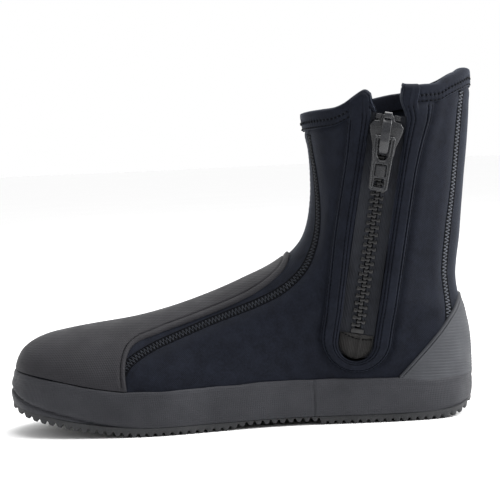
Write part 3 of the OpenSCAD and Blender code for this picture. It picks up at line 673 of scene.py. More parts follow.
def medial_quarter():
    x, z = zip_xz(0, SLOT_FROM)
    slot_ray = math.degrees(math.atan2(z - PIVOT[1], x - PIVOT[0]))
    low, high = np.linspace(-46.6, slot_ray, 70), np.linspace(slot_ray, COLLAR, 130)
    a = np.concatenate([low, high[1:]])
    half = narrow(SLOT_HALF, SLOT_TOP_HALF, ray_s(a))
    f, r = quarter_ends(a)
    columns = 62
    b = np.minimum(zip_r(a, -half), mix(f, r, 0.6))
    c = np.minimum(zip_r(a, half), mix(b, r, 0.7))
    u = np.linspace(0, 1, columns)[None]
    radii = np.concatenate([mix(f[:, None], b[:, None], u), mix(c[:, None], r[:, None], u)], 1)
    x, z = on_ray(a[:, None], radii)
    foam_panel("medial_quarter", x, z, -1, hole=(len(low) - 1, columns - 1, columns))


# --- rubber over the toe and the heel ---


def rim_profile(d, thick, bead=2.75):
    """Height of a rubber overlay at distance d from its edge: a round edge, a narrow bead, then a groove."""
    round_edge = np.sqrt(np.clip(1 - (1 - np.clip(d / 0.9, 0, 1)) ** 2, 0, 1))
    return CLEAR + 0.15 + (thick - 0.15) * round_edge + 0.25 * hill(d - 1.3, 0.8) - 0.95 * hill(d - bead, 0.3)


def toe_guard():
    band_x = np.array([-146.5, -138, -123, -108, -94, -83, -73.2])
    band = polar(np.stack([band_x, track(BAND_TOP, band_x) + CLEAR], 1))
    corner = band[-1, 0]
    a = np.concatenate([np.linspace(-58.6, corner, 60), np.linspace(corner + 0.1, -29, 90),
                        np.linspace(-28.8, -7.9, 150)])
    r0 = front_r(a)
    r1 = np.maximum(np.where(a < corner, track(band, a), track(GUARD_POLAR, a)), r0 + 0.4)
    far = np.array([0, 0.12, 0.3, 0.55, 0.9, 1.4, 1.9, 2.25, 2.45, 2.6, 2.75, 2.9, 3.05, 3.25, 3.5])
    core = np.linspace(-1, 1, 91)
    inner_r = np.maximum(r1 - 3.8, mix(r0, r1, 0.3))
    scale = ((r1 - inner_r) / 3.8)[:, None]
    core_r = mix(r0[:, None], inner_r[:, None], core ** 2)
    edge_r = r1[:, None] - far * scale
    radii = np.concatenate([edge_r, core_r, edge_r[:, ::-1]], 1)
    ones = np.ones(len(far))
    side = np.concatenate([-ones, np.where(core < 0, -1, 1), ones]) * np.ones_like(radii)
    x, z = on_ray(a[:, None], radii)
    guard_line = seam_points(GUARD_POLAR, corner, -7.9, 140)
    d, _ = far_from(guard_line, x, z)
    free = ease((z - track(BAND_TOP, x)) / 4) * (a[:, None] > corner - 8)
    out = mix(CLEAR + OVERLAY, rim_profile(d, OVERLAY), np.where(d < 6, free, 0))
    out = out + 0.12 * swell(x * 1.3, z * 1.3)
    out = np.where(np.abs(radii - r1[:, None]) < 0.01, CLEAR + 0.1, out)
    shell("toe_guard", skin(x, z, side, out), skin(x, z, side, CLEAR * 0.2), GUARD_PAINT)


def rear_x(z):
    line = np.array([(q[1], q[0]) for q in REAR_LINE if q[1] >= -10 and q[0] > 130], float)
    return edge((track(line, z) + 4, z), (np.full_like(z, 100.0), z))[0]


COUNTER_LOW, COUNTER_TOP = (92.5, 27.4), 75.0
RIB = 1.85                       # distance between two ribs of the counter


def heel_counter():
    f = np.linspace(-1, 1, 181)[None]
    w = 1 - f * f * 0.99
    z0 = track(BAND_TOP, mix(COUNTER_LOW[0], 143, w)) - 0.6
    z1 = np.maximum(mix(COUNTER_LOW[1], COUNTER_TOP, w), z0 + 0.8)
    u = np.concatenate([np.linspace(0, 0.965, 128), [0.975, 0.985, 0.993, 1]])[:, None]
    z = mix(z0, z1, u)
    x = mix(COUNTER_LOW[0], rear_x(z), w)
    side = np.where(f < 0, -1, 1) * np.ones_like(z)
    d = (z1 - z) * 0.72
    ribs = 0.13 * np.sin(2 * np.pi * (z + (x - 120) * 0.06) / RIB)
    ribs = ribs * ease((d - 2.4) / 1.5) * ease((z - track(BAND_TOP, x)) / 2)
    out = rim_profile(d, OVERLAY, bead=1.5) + ribs + 0.1 * swell(x * 1.4, z * 1.2)
    shell("heel_counter", skin(x, z, side, out), skin(x, z, side, CLEAR * 0.2), COUNTER_PAINT)


# --- sole ---


def toe_lift(x):
    return 15 * (np.maximum(0, -60 - x) / 88) ** 1.6


def heel_lift(x):
    return 7 * (np.maximum(0, x - 112) / 34) ** 2


def bed(x):
    return toe_lift(x) + heel_lift(x)


def waist(x):
    return 2.4 * ease((x + 18) / 18) * ease((42 - x) / 3 + 1)


def ring_ends(z_of, start, stop):
    a, b = start, stop
    for _ in range(26):
        m = (a + b) / 2
        a, b = (a, m) if half_sq(m, z_of(m)) > 0 else (m, b)
    return (a + b) / 2


def ring_row(z_of, count, out_of):
    """One closed ring of the upper's surface at height z_of(x), moved out by out_of(x, turn)."""
    a, b = ring_ends(z_of, -160.0, -100.0), ring_ends(z_of, 160.0, 100.0)
    t = 2 * np.pi * np.arange(count) / count
    x = (a + b) / 2 - (b - a) / 2 * np.cos(t)
    return skin(x, z_of(x), np.where(t < np.pi, -1, 1), out_of(x, t))


LAP = 41.0                       # x where the band's ends overlap, on the medial side


def foxing_band():
    count = 1180
    levels = np.concatenate([np.linspace(0, 0.9, 25), [0.925, 0.945, 0.96, 0.972, 0.982, 0.99, 0.996, 1.0]])
    bottom = OUTSOLE + 2 * CLEAR

    def top(x):
        return track(BAND_TOP, x) + 0.28 * np.sin(x / 9.0) * np.sin(x / 23.0 + 1) + 0.12 * np.sin(x / 3.7)

    rows_out, rows_in = [], []
    for u in levels:
        def height(x, u=u):
            return mix(bed(x) + bottom, top(x), u)

        def out_of(x, t, u=u):
            z = height(x)
            crease = z - np.maximum(track(TOE_CREASE, x), bed(x) + bottom - 1)
            turned = ease((-66 - x) / 25)
            lip = np.sqrt(np.clip(1 - (1 - np.clip((1 - u) / 0.05, 0, 1)) ** 2, 0, 1))
            body = BAND - 1.45 * u ** 2 - 0.6 * (1 - u) ** 6 + 0.22 * swell(x * 1.6, z * 2 + 20 * np.sin(t))
            body = body - 2.0 * ease((x - 124) / 14) * (1 - u) ** 0.5 - 0.6 * ease((-130 - x) / 14) * (1 - u)
            lap = 0.35 * ease((x - LAP + 0.4) / 0.9) - 0.5 * hill(x - LAP + 0.9, 0.6)
            lap = lap * hill(x - LAP, 60) * (t < np.pi)
            roll = 0.15 * hill((1 - u) * 22 - 2.4, 1.4) - 0.15 * hill((1 - u) * 22 - 4.8, 1.2)
            notch = 1.3 + 1.1 * ease((-132 - x) / 12)
            bumper = 0.45 * hill(crease - 3, 3) - notch * hill(crease, 0.9) + 0.4 * hill(crease + 3.5, 2.5)
            bumper = turned * bumper
            return CLEAR + 0.1 + (body - CLEAR) * (0.15 + 0.85 * lip) + lap + roll * lip + bumper

        rows_out.append(ring_row(height, count, out_of))
        rows_in.append(ring_row(height, count, lambda x, t: 0.3))
    shell("foxing_band", np.array(rows_out), np.array(rows_in), BAND_PAINT, ring=True)


def footprint(out, t):
    """Points (x, y) of the footprint's outline, moved out, at turns t from the toe (0) by the medial side."""
    x0, x1 = PLAN_W[0, 0], PLAN_W[-1, 0]
    x = (x0 + x1) / 2 - (x1 - x0) / 2 * np.cos(t)
    side, e = np.where(np.sin(t) > 0, -1, 1), 0.3
    w = np.sqrt(np.maximum(track(PLAN_SQ, x), 0))
    gx = -(track(PLAN_SQ, x + e) - track(PLAN_SQ, x - e)) / (2 * e)
    gx = gx - 2 * side * w * (mid_y(x + e) - mid_y(x - e)) / (2 * e)
    g = np.stack([gx, 2 * side * w], -1)
    g /= np.maximum(np.linalg.norm(g, axis=-1, keepdims=True), 1e-9)
    return np.stack([x, mid_y(x) + side * w], -1) + np.asarray(out)[..., None] * g


def groove(x):
    """0 on the tread's bars and 1 in the middle of the grooves between them."""
    v = np.abs(((x + 146 - 1.25) / PITCH + 0.5) % 1 - 0.5) * 2
    return ease((v - 0.3) / 0.6)


def worn(x):
    """How much the sole's lower edge is rounded off at the toe and the heel."""
    return 4.2 * np.clip((x - 129) / 14.5, 0, 1) ** 2 + 3.4 * np.clip((-126 - x) / 22, 0, 1) ** 2


def outsole():
    t = np.linspace(0.02, np.pi - 0.02, 900)
    wall = [(-0.9, 0.0), (-0.35, 0.25), (0.0, 0.9), (0.1, 1.8), (0.15, 2.7), (0.1, 3.6), (0.1, 4.4),
            (0, 5.05), (-0.8, 5.35)]

    def side_wall(turn):
        columns = []
        for out, z in wall:
            x = footprint(0, turn)[:, 0]
            cut = groove(x) * max(0, 1 - z / 3.8)
            tuck = 3.0 * ease((x - 124) / 16) + 0.2 * ease((-130 - x) / 12)
            xy = footprint(SOLE_FLARE + out - cut - tuck, turn)
            low = bed(x) + waist(x) + np.minimum(worn(x), 4.2 - z * 0.2) + (TREAD + 0.6) * groove(x)
            columns.append(np.concatenate([xy, np.maximum(bed(x) + z, low + 0.12 * z)[:, None]], 1))
        return columns

    medial, lateral = side_wall(t), side_wall(-t)
    across = np.linspace(0, 1, 12)[1:-1]
    top = [mix(medial[-1], lateral[-1], v) for v in across]
    under = [mix(medial[0], lateral[0], v) for v in across[::-1]]
    sections = np.stack(medial + top + lateral[::-1] + under, 1)
    loft("outsole", sections, SOLE_PAINT, smooth=50)


def insole():
    t = np.linspace(0.06, np.pi - 0.06, 160)
    v = np.linspace(0, 1, 40)[None, :, None]
    inset = -8.0
    a, b = footprint(inset, t), footprint(inset, -t)
    xy = mix(a[:, None], b[:, None], v)
    rim = np.abs(v[..., 0] * 2 - 1)
    low = bed(xy[..., 0]) + 8.4
    cup = 1.6 * ease((rim - 0.72) / 0.28) - 0.5 * ease((rim - 0.965) / 0.035)
    arch = 1.1 * hill(xy[..., 0] - 15, 28) * ease((0.45 - v[..., 0]) / 0.4)
    high = low + 3.8 + cup + arch + 0.15 * swell(xy[..., 0], xy[..., 1] * 2)
    top = np.concatenate([xy, high[..., None]], -1)
    bottom = np.concatenate([xy, np.broadcast_to(low, high.shape)[..., None]], -1)
    obj = shell("insole", top, bottom, FOOTBED_PAINT)


# --- collar hem ---


def ring_place(t, v):
    """(x, z, side) of a point at turn t round the collar (0 in front, positive medial), v above its edge."""
    r0, r1 = front_r(np.array(COLLAR)), rear_r(np.array(COLLAR))
    r = (r0 + r1) / 2 - (r1 - r0) / 2 * np.cos(t)
    a = COLLAR + np.degrees(v / r)
    q = mix(front_r(a), rear_r(a), (1 - np.cos(t)) / 2)
    x, z = on_ray(a, q)
    return x, z, np.where(np.sin(t) < 0, 1, -1)


def hem_turns():
    r0, r1 = front_r(np.array(COLLAR)), rear_r(np.array(COLLAR))
    m, h, cut = (r0 + r1) / 2, (r1 - r0) / 2, SLOT_TOP_HALF + 0.5
    start = math.acos((m - zip_r(COLLAR, -cut)) / h)
    stop = math.acos((m - zip_r(COLLAR, cut)) / h) - 2 * math.pi
    return start, stop


HEM_STITCH = 2.8                 # distance between two stitches of the hem


def hem_out(v):
    """Height of the hem's outer face over the neoprene, at v above the collar's edge."""
    return 1.55 - 0.3 * hill(v + 8.4, 0.6) - 0.35 * hill(v + 4.6, 0.8) - 0.75 * ease((-9.0 - v) / 0.6)


def collar_binding():
    start, stop = hem_turns()
    t = np.linspace(start, stop, 800)
    v_out = np.concatenate([[-9.55], np.linspace(-9.35, -0.2, 24)])
    roll = np.linspace(0.12, 0.88, 9) * np.pi
    fold = [(hem_out(v), v) for v in v_out]
    half, middle = (hem_out(-0.2) + NEOPRENE + 1.5) / 2, (hem_out(-0.2) - NEOPRENE - 1.5) / 2
    fold += [(middle + half * math.cos(q), 0.2 + 1.8 * math.sin(q)) for q in roll]
    fold += [(-NEOPRENE - 1.5, v) for v in (-0.4, -3, -6, -9.2)]
    fold += [(-NEOPRENE - 0.45, v) for v in (-9.4, 0.1)]
    fold += [(0.35, 0.1), (0.35, -9.5)]
    length = 52.5 * np.abs(t - start)
    sections = []
    for w, v in fold:
        x, z, side = ring_place(t, v)
        pull = 0.14 * np.cos(2 * np.pi * length / HEM_STITCH) * hill(v + 4.6, 2.0) if w > 0.4 else 0
        snug = -min(1.0, w - 0.45) * hill(x - 37, 10) if w > 0.46 else 0
        sections.append(skin(x, z, side, w + pull + snug))
    loft("collar_binding", np.stack(sections, 1), NEOPRENE_PAINT)


# --- stitches ---


def to_surface(points):
    """Moves points in space to the nearest place of the upper's surface."""
    for _ in range(5):
        x, y, z = points.T
        g = gradient(x, y, z)
        points = points - g * (((y - mid_y(x)) ** 2 - half_sq(x, z)) / (g ** 2).sum(-1))[:, None]
    return points


class Seam:
    """A line of (x, z) points on one side of the upper, measured along its length."""

    def __init__(self, line, side):
        self.side, self.path = side, skin(line[:, 0], line[:, 1], side)
        self.along = np.concatenate([[0], np.cumsum(np.linalg.norm(np.diff(self.path, axis=0), axis=1))])
        self.length = self.along[-1]

    def at(self, s, off, lift):
        """Points and normals at lengths s, off to one side (positive: up or forward), lift over the cloth."""
        def on_path(q):
            return np.stack([np.interp(q, self.along, self.path[:, k]) for k in range(3)], 1)
        p, ahead = on_path(s), on_path(s + 0.5) - on_path(s - 0.5)
        across = np.cross(outward(*p.T), ahead) * self.side
        across /= np.linalg.norm(across, axis=1, keepdims=True)
        p = to_surface(p + np.asarray(off)[..., None] * across)
        n = outward(*p.T)
        return p + (relief(p[:, 0], p[:, 2], self.side) + lift)[:, None] * n, n


def zigzag(bundle, seam, half, lift, radius, step):
    """One thread that runs from side to side over a seam."""
    count = int((seam.length - 1) / step)
    k = np.arange(4 * count + 1) / 4
    swing = half * (2 * np.abs(k % 2 - 1) - 1)
    q, n = seam.at(0.5 + k * step, swing, lift * (0.25 + 0.75 * np.sqrt(1 - (swing / half) ** 2)))
    bundle.tube(q, n, radius, 5)


def running(bundle, points, normals, step, share, radius):
    """Short stitches along a row of surface points."""
    d = np.concatenate([[0], np.cumsum(np.linalg.norm(np.diff(points, axis=0), axis=1))])
    shape = np.array([(-0.5, -1.0, 0.6), (-0.3, 0.35, 1), (0, 0.7, 1), (0.3, 0.35, 1), (0.5, -1.0, 0.6)])
    for k in range(int(d[-1] / step)):
        s = (k + 0.5) * step + shape[:, 0] * step * share
        q = np.stack([np.interp(s, d, points[:, i]) for i in range(3)], 1)
        n = np.stack([np.interp(s, d, normals[:, i]) for i in range(3)], 1)
        bundle.tube(q + n * (shape[:, 1] * radius)[:, None], n, radius * shape[:, 2], 5)


def seam_stitches():
    light, slate, dark = Bundle(), Bundle(), Bundle()
    for side in (-1, 1):
        for line, keep, bright in ((FRONT_SEAM_LINE, 8, slate), (BACK_SEAM_LINE, 12, light)):
            shown = line[keep:]
            z_stop = collar_z(shown[:, 0]) - HEM - 0.5
            shown = shown[shown[:, 1] < z_stop]
            seam = Seam(shown, side)
            zigzag(dark, seam, -2.5, 0.16, 0.34, 1.1)
            zigzag(bright, seam, 2.3, 0.3, 0.27, 1.1)
            s = np.linspace(0.5, seam.length - 0.5, 420)
            # Unbroken black lines along both rows of needle holes beside the seam: painted shade of the holes,
            # drawn as thread
            for off in (-2.9, 2.9):
                points, normals = seam.at(s, off, 0.0)
                dark.tube(points, normals, 0.32, 6)
    light.build("back_seam_stitches", THREAD_PAINT)
    slate.build("front_seam_stitches", MID_THREAD_PAINT)
    dark.build("seam_cover_stitches", BLACK_THREAD_AND_SHADE_PAINT)


def hem_stitches():
    light, dark = Bundle(), Bundle()
    start, stop = hem_turns()
    turns = np.linspace(start, stop, 2400)
    x, z, side = ring_place(turns, -5.0)
    shown = (side > 0) | (x < 70) | (x > 101)
    path = skin(x, z, side)
    along = np.cumsum(np.linalg.norm(np.diff(path, axis=0, prepend=path[:1]), axis=1))

    def on_hem(s, v, lift):
        t = np.interp(s, along, turns)
        x, z, side = ring_place(t, v)
        p = skin(x, z, side, hem_out(v) + lift)
        return p, outward(*p.T)

    for k in range(int(along[-1] / HEM_STITCH)):
        s = (k + 0.5) * HEM_STITCH
        if np.interp(s, along, shown) <= 0.5:
            continue
        u = np.linspace(-1, 1, 5)
        arch = 0.16 - 0.3 * np.abs(u) ** 3
        # Black dots and dashes of thread that also paint the shade of the needle holes
        dark.tube(*on_hem(s + 0 * u, -4.6 + 0.6 * u, arch), 0.55 * (1 - 0.4 * u * u), 6)
        light.tube(*on_hem(s + 1.4 + 0.25 * u, -4.6 + 0.8 * u, arch), 0.24 * (1 - 0.4 * u * u), 5)
        dark.tube(*on_hem(s + 0.95 * u, -8.4 + 0 * u, arch), 0.4 * (1 - 0.4 * u * u), 5)
    light.build("hem_stitches", MID_THREAD_PAINT)
    dark.build("hem_cover_stitches", BLACK_THREAD_AND_SHADE_PAINT)


# --- zip facing ---


def facing_station(k, w):
    """(p, s) at place k along the facing: down behind the zip, round below, up in front; w is 0 inside."""
    def arc(turn):
        t = np.radians(turn)
        inner = np.array([FACING_IN * np.cos(t), FACING_IN_LOW - FACING_IN * np.sin(t)])
        outer = np.array([FACING_OUT * np.cos(t), FACING_OUT_LOW - FACING_OUT * np.sin(t)])
        return mix(inner, outer, w)
    if 1 <= k <= 2:
        return arc((k - 1) * 180)
    side, u = (1, 1 - k) if k < 1 else (-1, k - 2)
    low = arc(0 if side > 0 else 180)
    s = mix(low[1], collar_s(side * mix(FACING_IN, FACING_TOP_OUT, w)) - 1.2, u)
    i = narrow(FACING_IN, SLOT_TOP_HALF + 0.6, s)
    return np.array([side * mix(i, facing_half(s), w), s])


FACING_ROWS = (0.14, 0.3, 0.8, 0.94)  # where the rows of stitches lie across the facing


def facing_puff(w):
    """Height of the facing across its width: a roll at the zip, rows of stitches and a thin edge."""
    dome = 2.9 * (1 - np.abs((w - 0.5) / 0.64) ** 3.4)
    lines = sum(depth * hill(w - at, 0.03) for at, depth in zip(FACING_ROWS, (0.7, 0.6, 0.9, 0.6)))
    return np.maximum(dome - lines, 0.5)


# Inner side of the facing from the tape upwards: (distance past its edge, height over the neoprene)
INNER_WALL = ((-0.6, -4.0), (-0.6, -2.6), (-0.45, -0.9), (-0.2, 0.5))


def facing_cover(p, w):
    """1 where the facing lies over the hem, and 0 where it goes under it."""
    return 1 - ease((w - np.where(p > 0, 0.4, 0.82)) / 0.08)


def over_collar(x, z, p, w, out, drop):
    """Rows of points that roll over the collar's edge from a row at (x, z): outer face, then inner face."""
    middle, cover = -NEOPRENE / 2, facing_cover(p, w)
    outer, inner = [], []
    for q in np.radians([18, 36, 54, 72, 90, 110, 132, 150]):
        for rows, rise, reach in ((outer, 3.2, out), (inner, 2.3, out - 0.8)):
            up = (rise * cover - drop) * math.sin(q)
            rows.append(skin(x + up * 0.18, z + up, -1, middle + (reach - middle) * math.cos(q)))
    return outer, inner


def zip_facing():
    ks = np.concatenate([np.linspace(0, 0.97, 90), np.linspace(1, 2, 60), np.linspace(2.03, 3, 90)])
    ws = np.linspace(0, 1, 51)
    flat = np.array([[facing_station(k, w) for w in ws] for k in ks])
    inward = np.array([[d, 0] for d, _ in INNER_WALL])
    p, s = flat[..., 0], flat[..., 1]
    # The wall that turns in to the tape runs towards the middle of the zip, and round its low end
    centre = np.stack([0 * p[:, 0], np.maximum(s[:, 0], FACING_IN_LOW)], 1)
    ahead = flat[:, 0] - centre
    ahead /= np.linalg.norm(ahead, axis=1, keepdims=True)
    # Low down, and beside the closed slider, the roll is undercut so that the slider passes
    spare = 1.0 * (1 - ease((flat[:, 0, 1] - 45) / 25)) + 0.7 * hill(flat[:, 0, 1] - 126, 10)
    wall = flat[:, :1] + ahead[:, None] * (inward[None, :, :1] + spare[:, None, None])
    ws_all = np.concatenate([np.zeros(len(INNER_WALL)), ws])
    p, s = np.concatenate([wall[..., 0], p], 1), np.concatenate([wall[..., 1], s], 1)
    x, z = zip_xz(p, s)
    near_top = ease((z - collar_z(x) + HEM + 5) / 5)
    cover = facing_cover(p, ws_all[None])
    deep = np.array([d for _, d in INNER_WALL])
    face = np.concatenate([np.tile(deep, (len(ks), 1)), np.tile(facing_puff(ws), (len(ks), 1))], 1)
    over_hem = mix(0.6, 2.2 + 0.6 * np.sin(np.pi * ws_all)[None], cover)
    at_top = np.maximum(np.minimum(face, over_hem + 0.6), over_hem)
    out = np.where(ws_all[None] > 0, mix(face, at_top, near_top), face)
    out[:, len(deep)] = mix(face[:, len(deep)], 1.9, near_top[:, len(deep)])
    out = out + 0.15 * swell(x * 2, z * 1.5) * np.sin(np.pi * ws_all)
    low = np.where(ws_all[None] > 0, CLEAR + near_top * (cover * 1.3), np.minimum(face - 0.3, CLEAR))
    low[:, :len(deep)] = face[:, :len(deep)] - 0.3
    outer = skin(x, z, -1, np.maximum(out, low + 0.12))
    back = np.zeros_like(p)
    back[:, :len(deep)] = 0.9
    xb, zb = zip_xz(p + ahead[:, :1] * back, s + ahead[:, 1:] * back)
    inner = skin(xb, zb, -1, low)
    for end, flip in ((0, True), (-1, False)):
        drop = 2.2 * np.clip(1 - ws_all / 0.15, 0, 1) ** 2 * (p[end] < 0)
        rows = over_collar(x[end], z[end], p[end], ws_all, np.maximum(out[end], 1.2), drop)
        rows = [np.array(r[::-1] if flip else r) for r in rows]
        pair = ((rows[0], outer), (rows[1], inner)) if flip else ((outer, rows[0]), (inner, rows[1]))
        outer, inner = (np.concatenate(q) for q in pair)
    obj = shell("zip_facing", outer, inner, NEOPRENE_PAINT)
    stitches = Bundle()
    # Black running stitches in the facing's grooves, which also paint the grooves' shade
    for at in FACING_ROWS:
        line = outer[14:-14, len(deep) + round(at * (len(ws) - 1))]
        running(stitches, line, outward(*line.T), 2.6, 0.74, 0.24)
    stitches.build("facing_stitches", BLACK_THREAD_AND_SHADE_PAINT)


# --- zip ---


def zip_gusset():
    s, p = np.meshgrid(np.linspace(-20, 132, 120), np.linspace(-GUSSET_HALF, GUSSET_HALF, 60), indexing="ij")
    x, z = zip_xz(p, s)
    depth = mix(NEOPRENE + CLEAR, track(GUSSET_DEPTH, s), ease((GUSSET_HALF - np.abs(p)) / 6))
    outer, inner = skin(x, z, -1, -depth - 0.1), skin(x, z, -1, -depth - 1.1)
    obj = shell("zip_gusset", outer, inner, LINING_PAINT)


def zip_tapes():
    for name, side in (("zip_tape_front", -1), ("zip_tape_rear", 1)):
        s, u = np.meshgrid(np.linspace(TAPE_FROM, TAPE_TO, 240), np.linspace(0, 1, 40), indexing="ij")
        p = side * mix(TAPE_EDGE, TAPE_HALF, u)
        cord = 0.55 * hill(u - 0.06, 0.06) + 0.07 * hill(u - 0.34, 0.02) + 0.07 * hill(u - 0.66, 0.02)
        bow = 0.06 * np.sin(s / 13 + side) * u
        face = TAPE / 2 + cord + bow
        shell(name, zip_point(p, s, face), zip_point(p, s, -TAPE / 2 - cord + bow), TAPE_PAINT)


def zip_teeth():
    head = rounded([(-4.3, -1.2), (-2.5, -1.3), (-1.5, -0.55), (-0.5, -1.1), (0.9, -1.15), (1.4, -0.5),
                    (1.4, 0.5), (0.9, 1.15), (-0.5, 1.1), (-1.5, 0.55), (-2.5, 1.3), (-4.3, 1.2)], 0.8, 4)
    for name, side in (("zip_teeth_front", -1), ("zip_teeth_rear", 1)):
        outline = [(q[0] * -side, q[1]) for q in (head if side < 0 else head[::-1])]
        verts, faces = plate([outline], TOOTH_T, 0.5, 3)
        row = Bundle()
        count = TOOTH_COUNT - (side > 0)
        for k in range(count):
            s = TEETH_FROM + k * TOOTH_PITCH + (TOOTH_PITCH / 2 if side > 0 else 0)
            row.add(zip_point(verts[:, 0], verts[:, 1] + s, verts[:, 2]), faces)
        row.build(name, TOOTH_PAINT)


def block(half_w, half_h, radius, thick, bevel):
    corners = [(-half_w, -half_h), (half_w, -half_h), (half_w, half_h), (-half_w, half_h)]
    return plate([rounded(corners, radius)], thick, bevel)


def zip_stops():
    stops = Bundle()
    verts, faces = block(1.9, 1.6, 0.5, 1.15, 0.3)
    for side in (-1, 1):
        for f in (-1, 1):
            p, s = verts[:, 0] + side * 5.6, verts[:, 1] + TAPE_TO - 2
            stops.add(zip_point(p, s, verts[:, 2] + f * 0.99), faces)
    stops.build("zip_top_stops", SLIDER_PAINT)
    verts, faces = block(4, 1.5, 0.7, 1.3, 0.35)
    piece("zip_bottom_stop", zip_point(verts[:, 0], verts[:, 1] + 2.6, verts[:, 2] + 1.0), faces, TOOTH_PAINT)


def zip_end_patch():
    """Patch sewn over the tapes' lower end, a little creased, and the black stitches near its upper edge,
    which also paint the shade along that edge.
    """
    v, u = np.meshgrid(np.linspace(0, 1, 40), np.linspace(-1, 1, 60), indexing="ij")
    drop = mix(0.6, -14.6, v)
    half = 10.2 * np.sqrt(np.clip(1 - np.clip((-4.5 - drop) / 10.25, 0, 0.999) ** 2, 0.0005, 1))
    p = u * half
    crease = hill(p - 2.8 + v * 1.2, 0.8) + 0.4 * hill(p + 5 - v * 2, 1.6) + 0.5 * (1 - v)
    thick = 0.5 * (1 - np.abs(u) ** 8) * (1 - (2 * v - 1) ** 16)
    shell("zip_end_patch", zip_point(p, drop, TAPE / 2 + 0.35 + crease * 0.8 + thick),
          zip_point(p, drop, TAPE / 2 + 0.05), PATCH_PAINT)
    across = np.linspace(-9.6, 9.8, 80)
    line = zip_point(across, -2.2 + 0.018 * (across - 3) ** 2, TAPE / 2 + 1.35)
    stitches = Bundle()
    running(stitches, line, np.tile(-ZIP_TURN[:, 1], (len(line), 1)), 2.2, 0.8, 0.36)
    stitches.build("patch_stitches", BLACK_THREAD_AND_SHADE_PAINT)


# --- slider and its pull ---
PLATE_N, PLATE_T, CROWN_W = 1.75, 2.4, 5.6
PULL_S, PULL_N, BAR_R, PULL_T = 0.5, 7.1, 1.2, 2.2
SHIELD = [(3.4, 14.5), (4.4, 10.9), (8.2, 10.2), (10.3, 7.6), (9.9, 4), (7.2, -4.5), (6.8, -10.3)]


def slider_piece(name, parts, body="slider"):
    """Plates given as (points, faces, how to place them) in the slider's own plane: p, s and n."""
    bundle = Bundle()
    for (verts, faces), place in parts:
        p, s, n = place(verts)
        bundle.add(zip_point(p, s + TRAVEL_S, n), faces)
    return bundle.build(name, SLIDER_PAINT, body=body)


def flat_at(n):
    return lambda q: (q[:, 0], q[:, 1], q[:, 2] + n)


def slider():
    shield = SHIELD + [(-x, y) for x, y in SHIELD[::-1]]
    radii = [1.5, 1.5, 1.8, 2.2, 4, 4, 0.8]
    front = plate([rounded(shield, radii + radii[::-1], 5)], PLATE_T, 0.7, 3)
    parts = [(front, flat_at(PLATE_N + PLATE_T / 2))]
    for side in (-1, 1):
        flange = [(side * x, y) for x, y in ((5.1, -10.3), (6.8, -10.3), (7.2, -4.5), (9.9, 4), (10.2, 7.5),
                                             (8.9, 7.5), (8.3, 4), (5.1, -5.5))]
        parts.append((plate([rounded(flange, 0.3)], 1.3, 0.2), flat_at(1.25)))
    slider_piece("slider_body", parts)
    back = [(-3.4, 12), (3.4, 12), (8.4, 9.9), (9.9, 6.4), (6.8, -10.3), (-6.8, -10.3), (-9.9, 6.4),
            (-8.4, 9.9)]
    slider_piece("slider_back_plate", [(plate([rounded(back, 1.2)], 1.4, 0.35), flat_at(-PLATE_N - 0.7))])
    c = PLATE_N + PLATE_T

    def upright(q):
        return q[:, 2], q[:, 0], q[:, 1]

    arch = [(-9.8, -0.2), (-9.7, 2.8), (-7.2, 4.9), (-2, 6.1), (4, 6.1), (9.5, 5), (12, 3.4), (12.2, -0.2),
            (8.4, -0.2), (7.5, 2.8), (3.5, 4.4), (-1, 4.5), (-4.5, 4), (-7.2, 2.2), (-7.2, -0.2)]
    arch_radii = [0.4, 2, 3, 6, 6, 3, 1.5, 0.3, 0.3, 1.5, 3, 3, 2, 1, 0.3]
    strap = rounded([(q, c + up) for q, up in arch], arch_radii, 4)
    cap = rounded([(11.6, c - 0.3), (12.3, c + 4.6), (15.6, c + 4.5), (16.2, c + 1), (14.6, c - 0.3)], 0.7)
    slider_piece("slider_bridge", [(plate([strap], CROWN_W, 0.55, 3), upright),
                                   (plate([cap], CROWN_W - 0.8, 0.5, 3), upright)])


def pull_tab():
    def silhouette(inset):
        top, low, k = 6.6 - inset, 5.6 - inset, inset
        gap = [(3.9 + k, 1.1 - k), (3.5 + k, -1), (3.3 + k, -11 + k * 0.2), (1.8, -13.4 - k)]
        right = [(low, 2 - PULL_LENGTH + k), (top, -0.6), (5.3, 1.1 - k)] + gap
        left = [(-x, y) for x, y in right[::-1]]
        bottom = [(-4.4 + k * 0.5, 0.8 - PULL_LENGTH + k), (4.4 - k * 0.5, 0.8 - PULL_LENGTH + k)]
        return rounded(bottom + right + left, 0.9, 4)

    def slot_of(width, low, high):
        low, high = low - PULL_LENGTH, high - PULL_LENGTH
        return rounded([(-width, low), (-width, high), (width, high), (width, low)], 0.9)

    hole, window = slot_of(3.1, 2.8, 8.4), slot_of(3.6, 9.4, 17.0)
    web = plate([silhouette(0.3), hole, window], 1.2, 0.2, 2)
    rims = [plate([silhouette(0), silhouette(1.35)], PULL_T + 0.3, 0.62, 4)]
    rims.append(plate([slot_of(4.0, 1.9, 9.3), hole], 2.2, 0.42, 3))
    rims.append(plate([slot_of(4.4, 8.7, 17.8), window], 2.2, 0.38, 3))
    field = plate([slot_of(2.9, 9.0, 16.2)], 0.7, 0.15)
    t = 2 * np.pi * np.arange(24) / 24
    bar = np.concatenate([np.stack([np.full(24, e), BAR_R * k * np.sin(t), BAR_R * k * np.cos(t)], 1)
                          for e, k in ((-6.2, 0.7), (-5.9, 1), (5.9, 1), (6.2, 0.7))])

    def at_axis(q):
        return q[:, 0], q[:, 1] + PULL_S, q[:, 2] + PULL_N

    parts = [web, *rims, field, (bar, tube_faces(4, 24))]
    slider_piece("pull_tab", [(part, at_axis) for part in parts], body="pull")


# --- inside ---


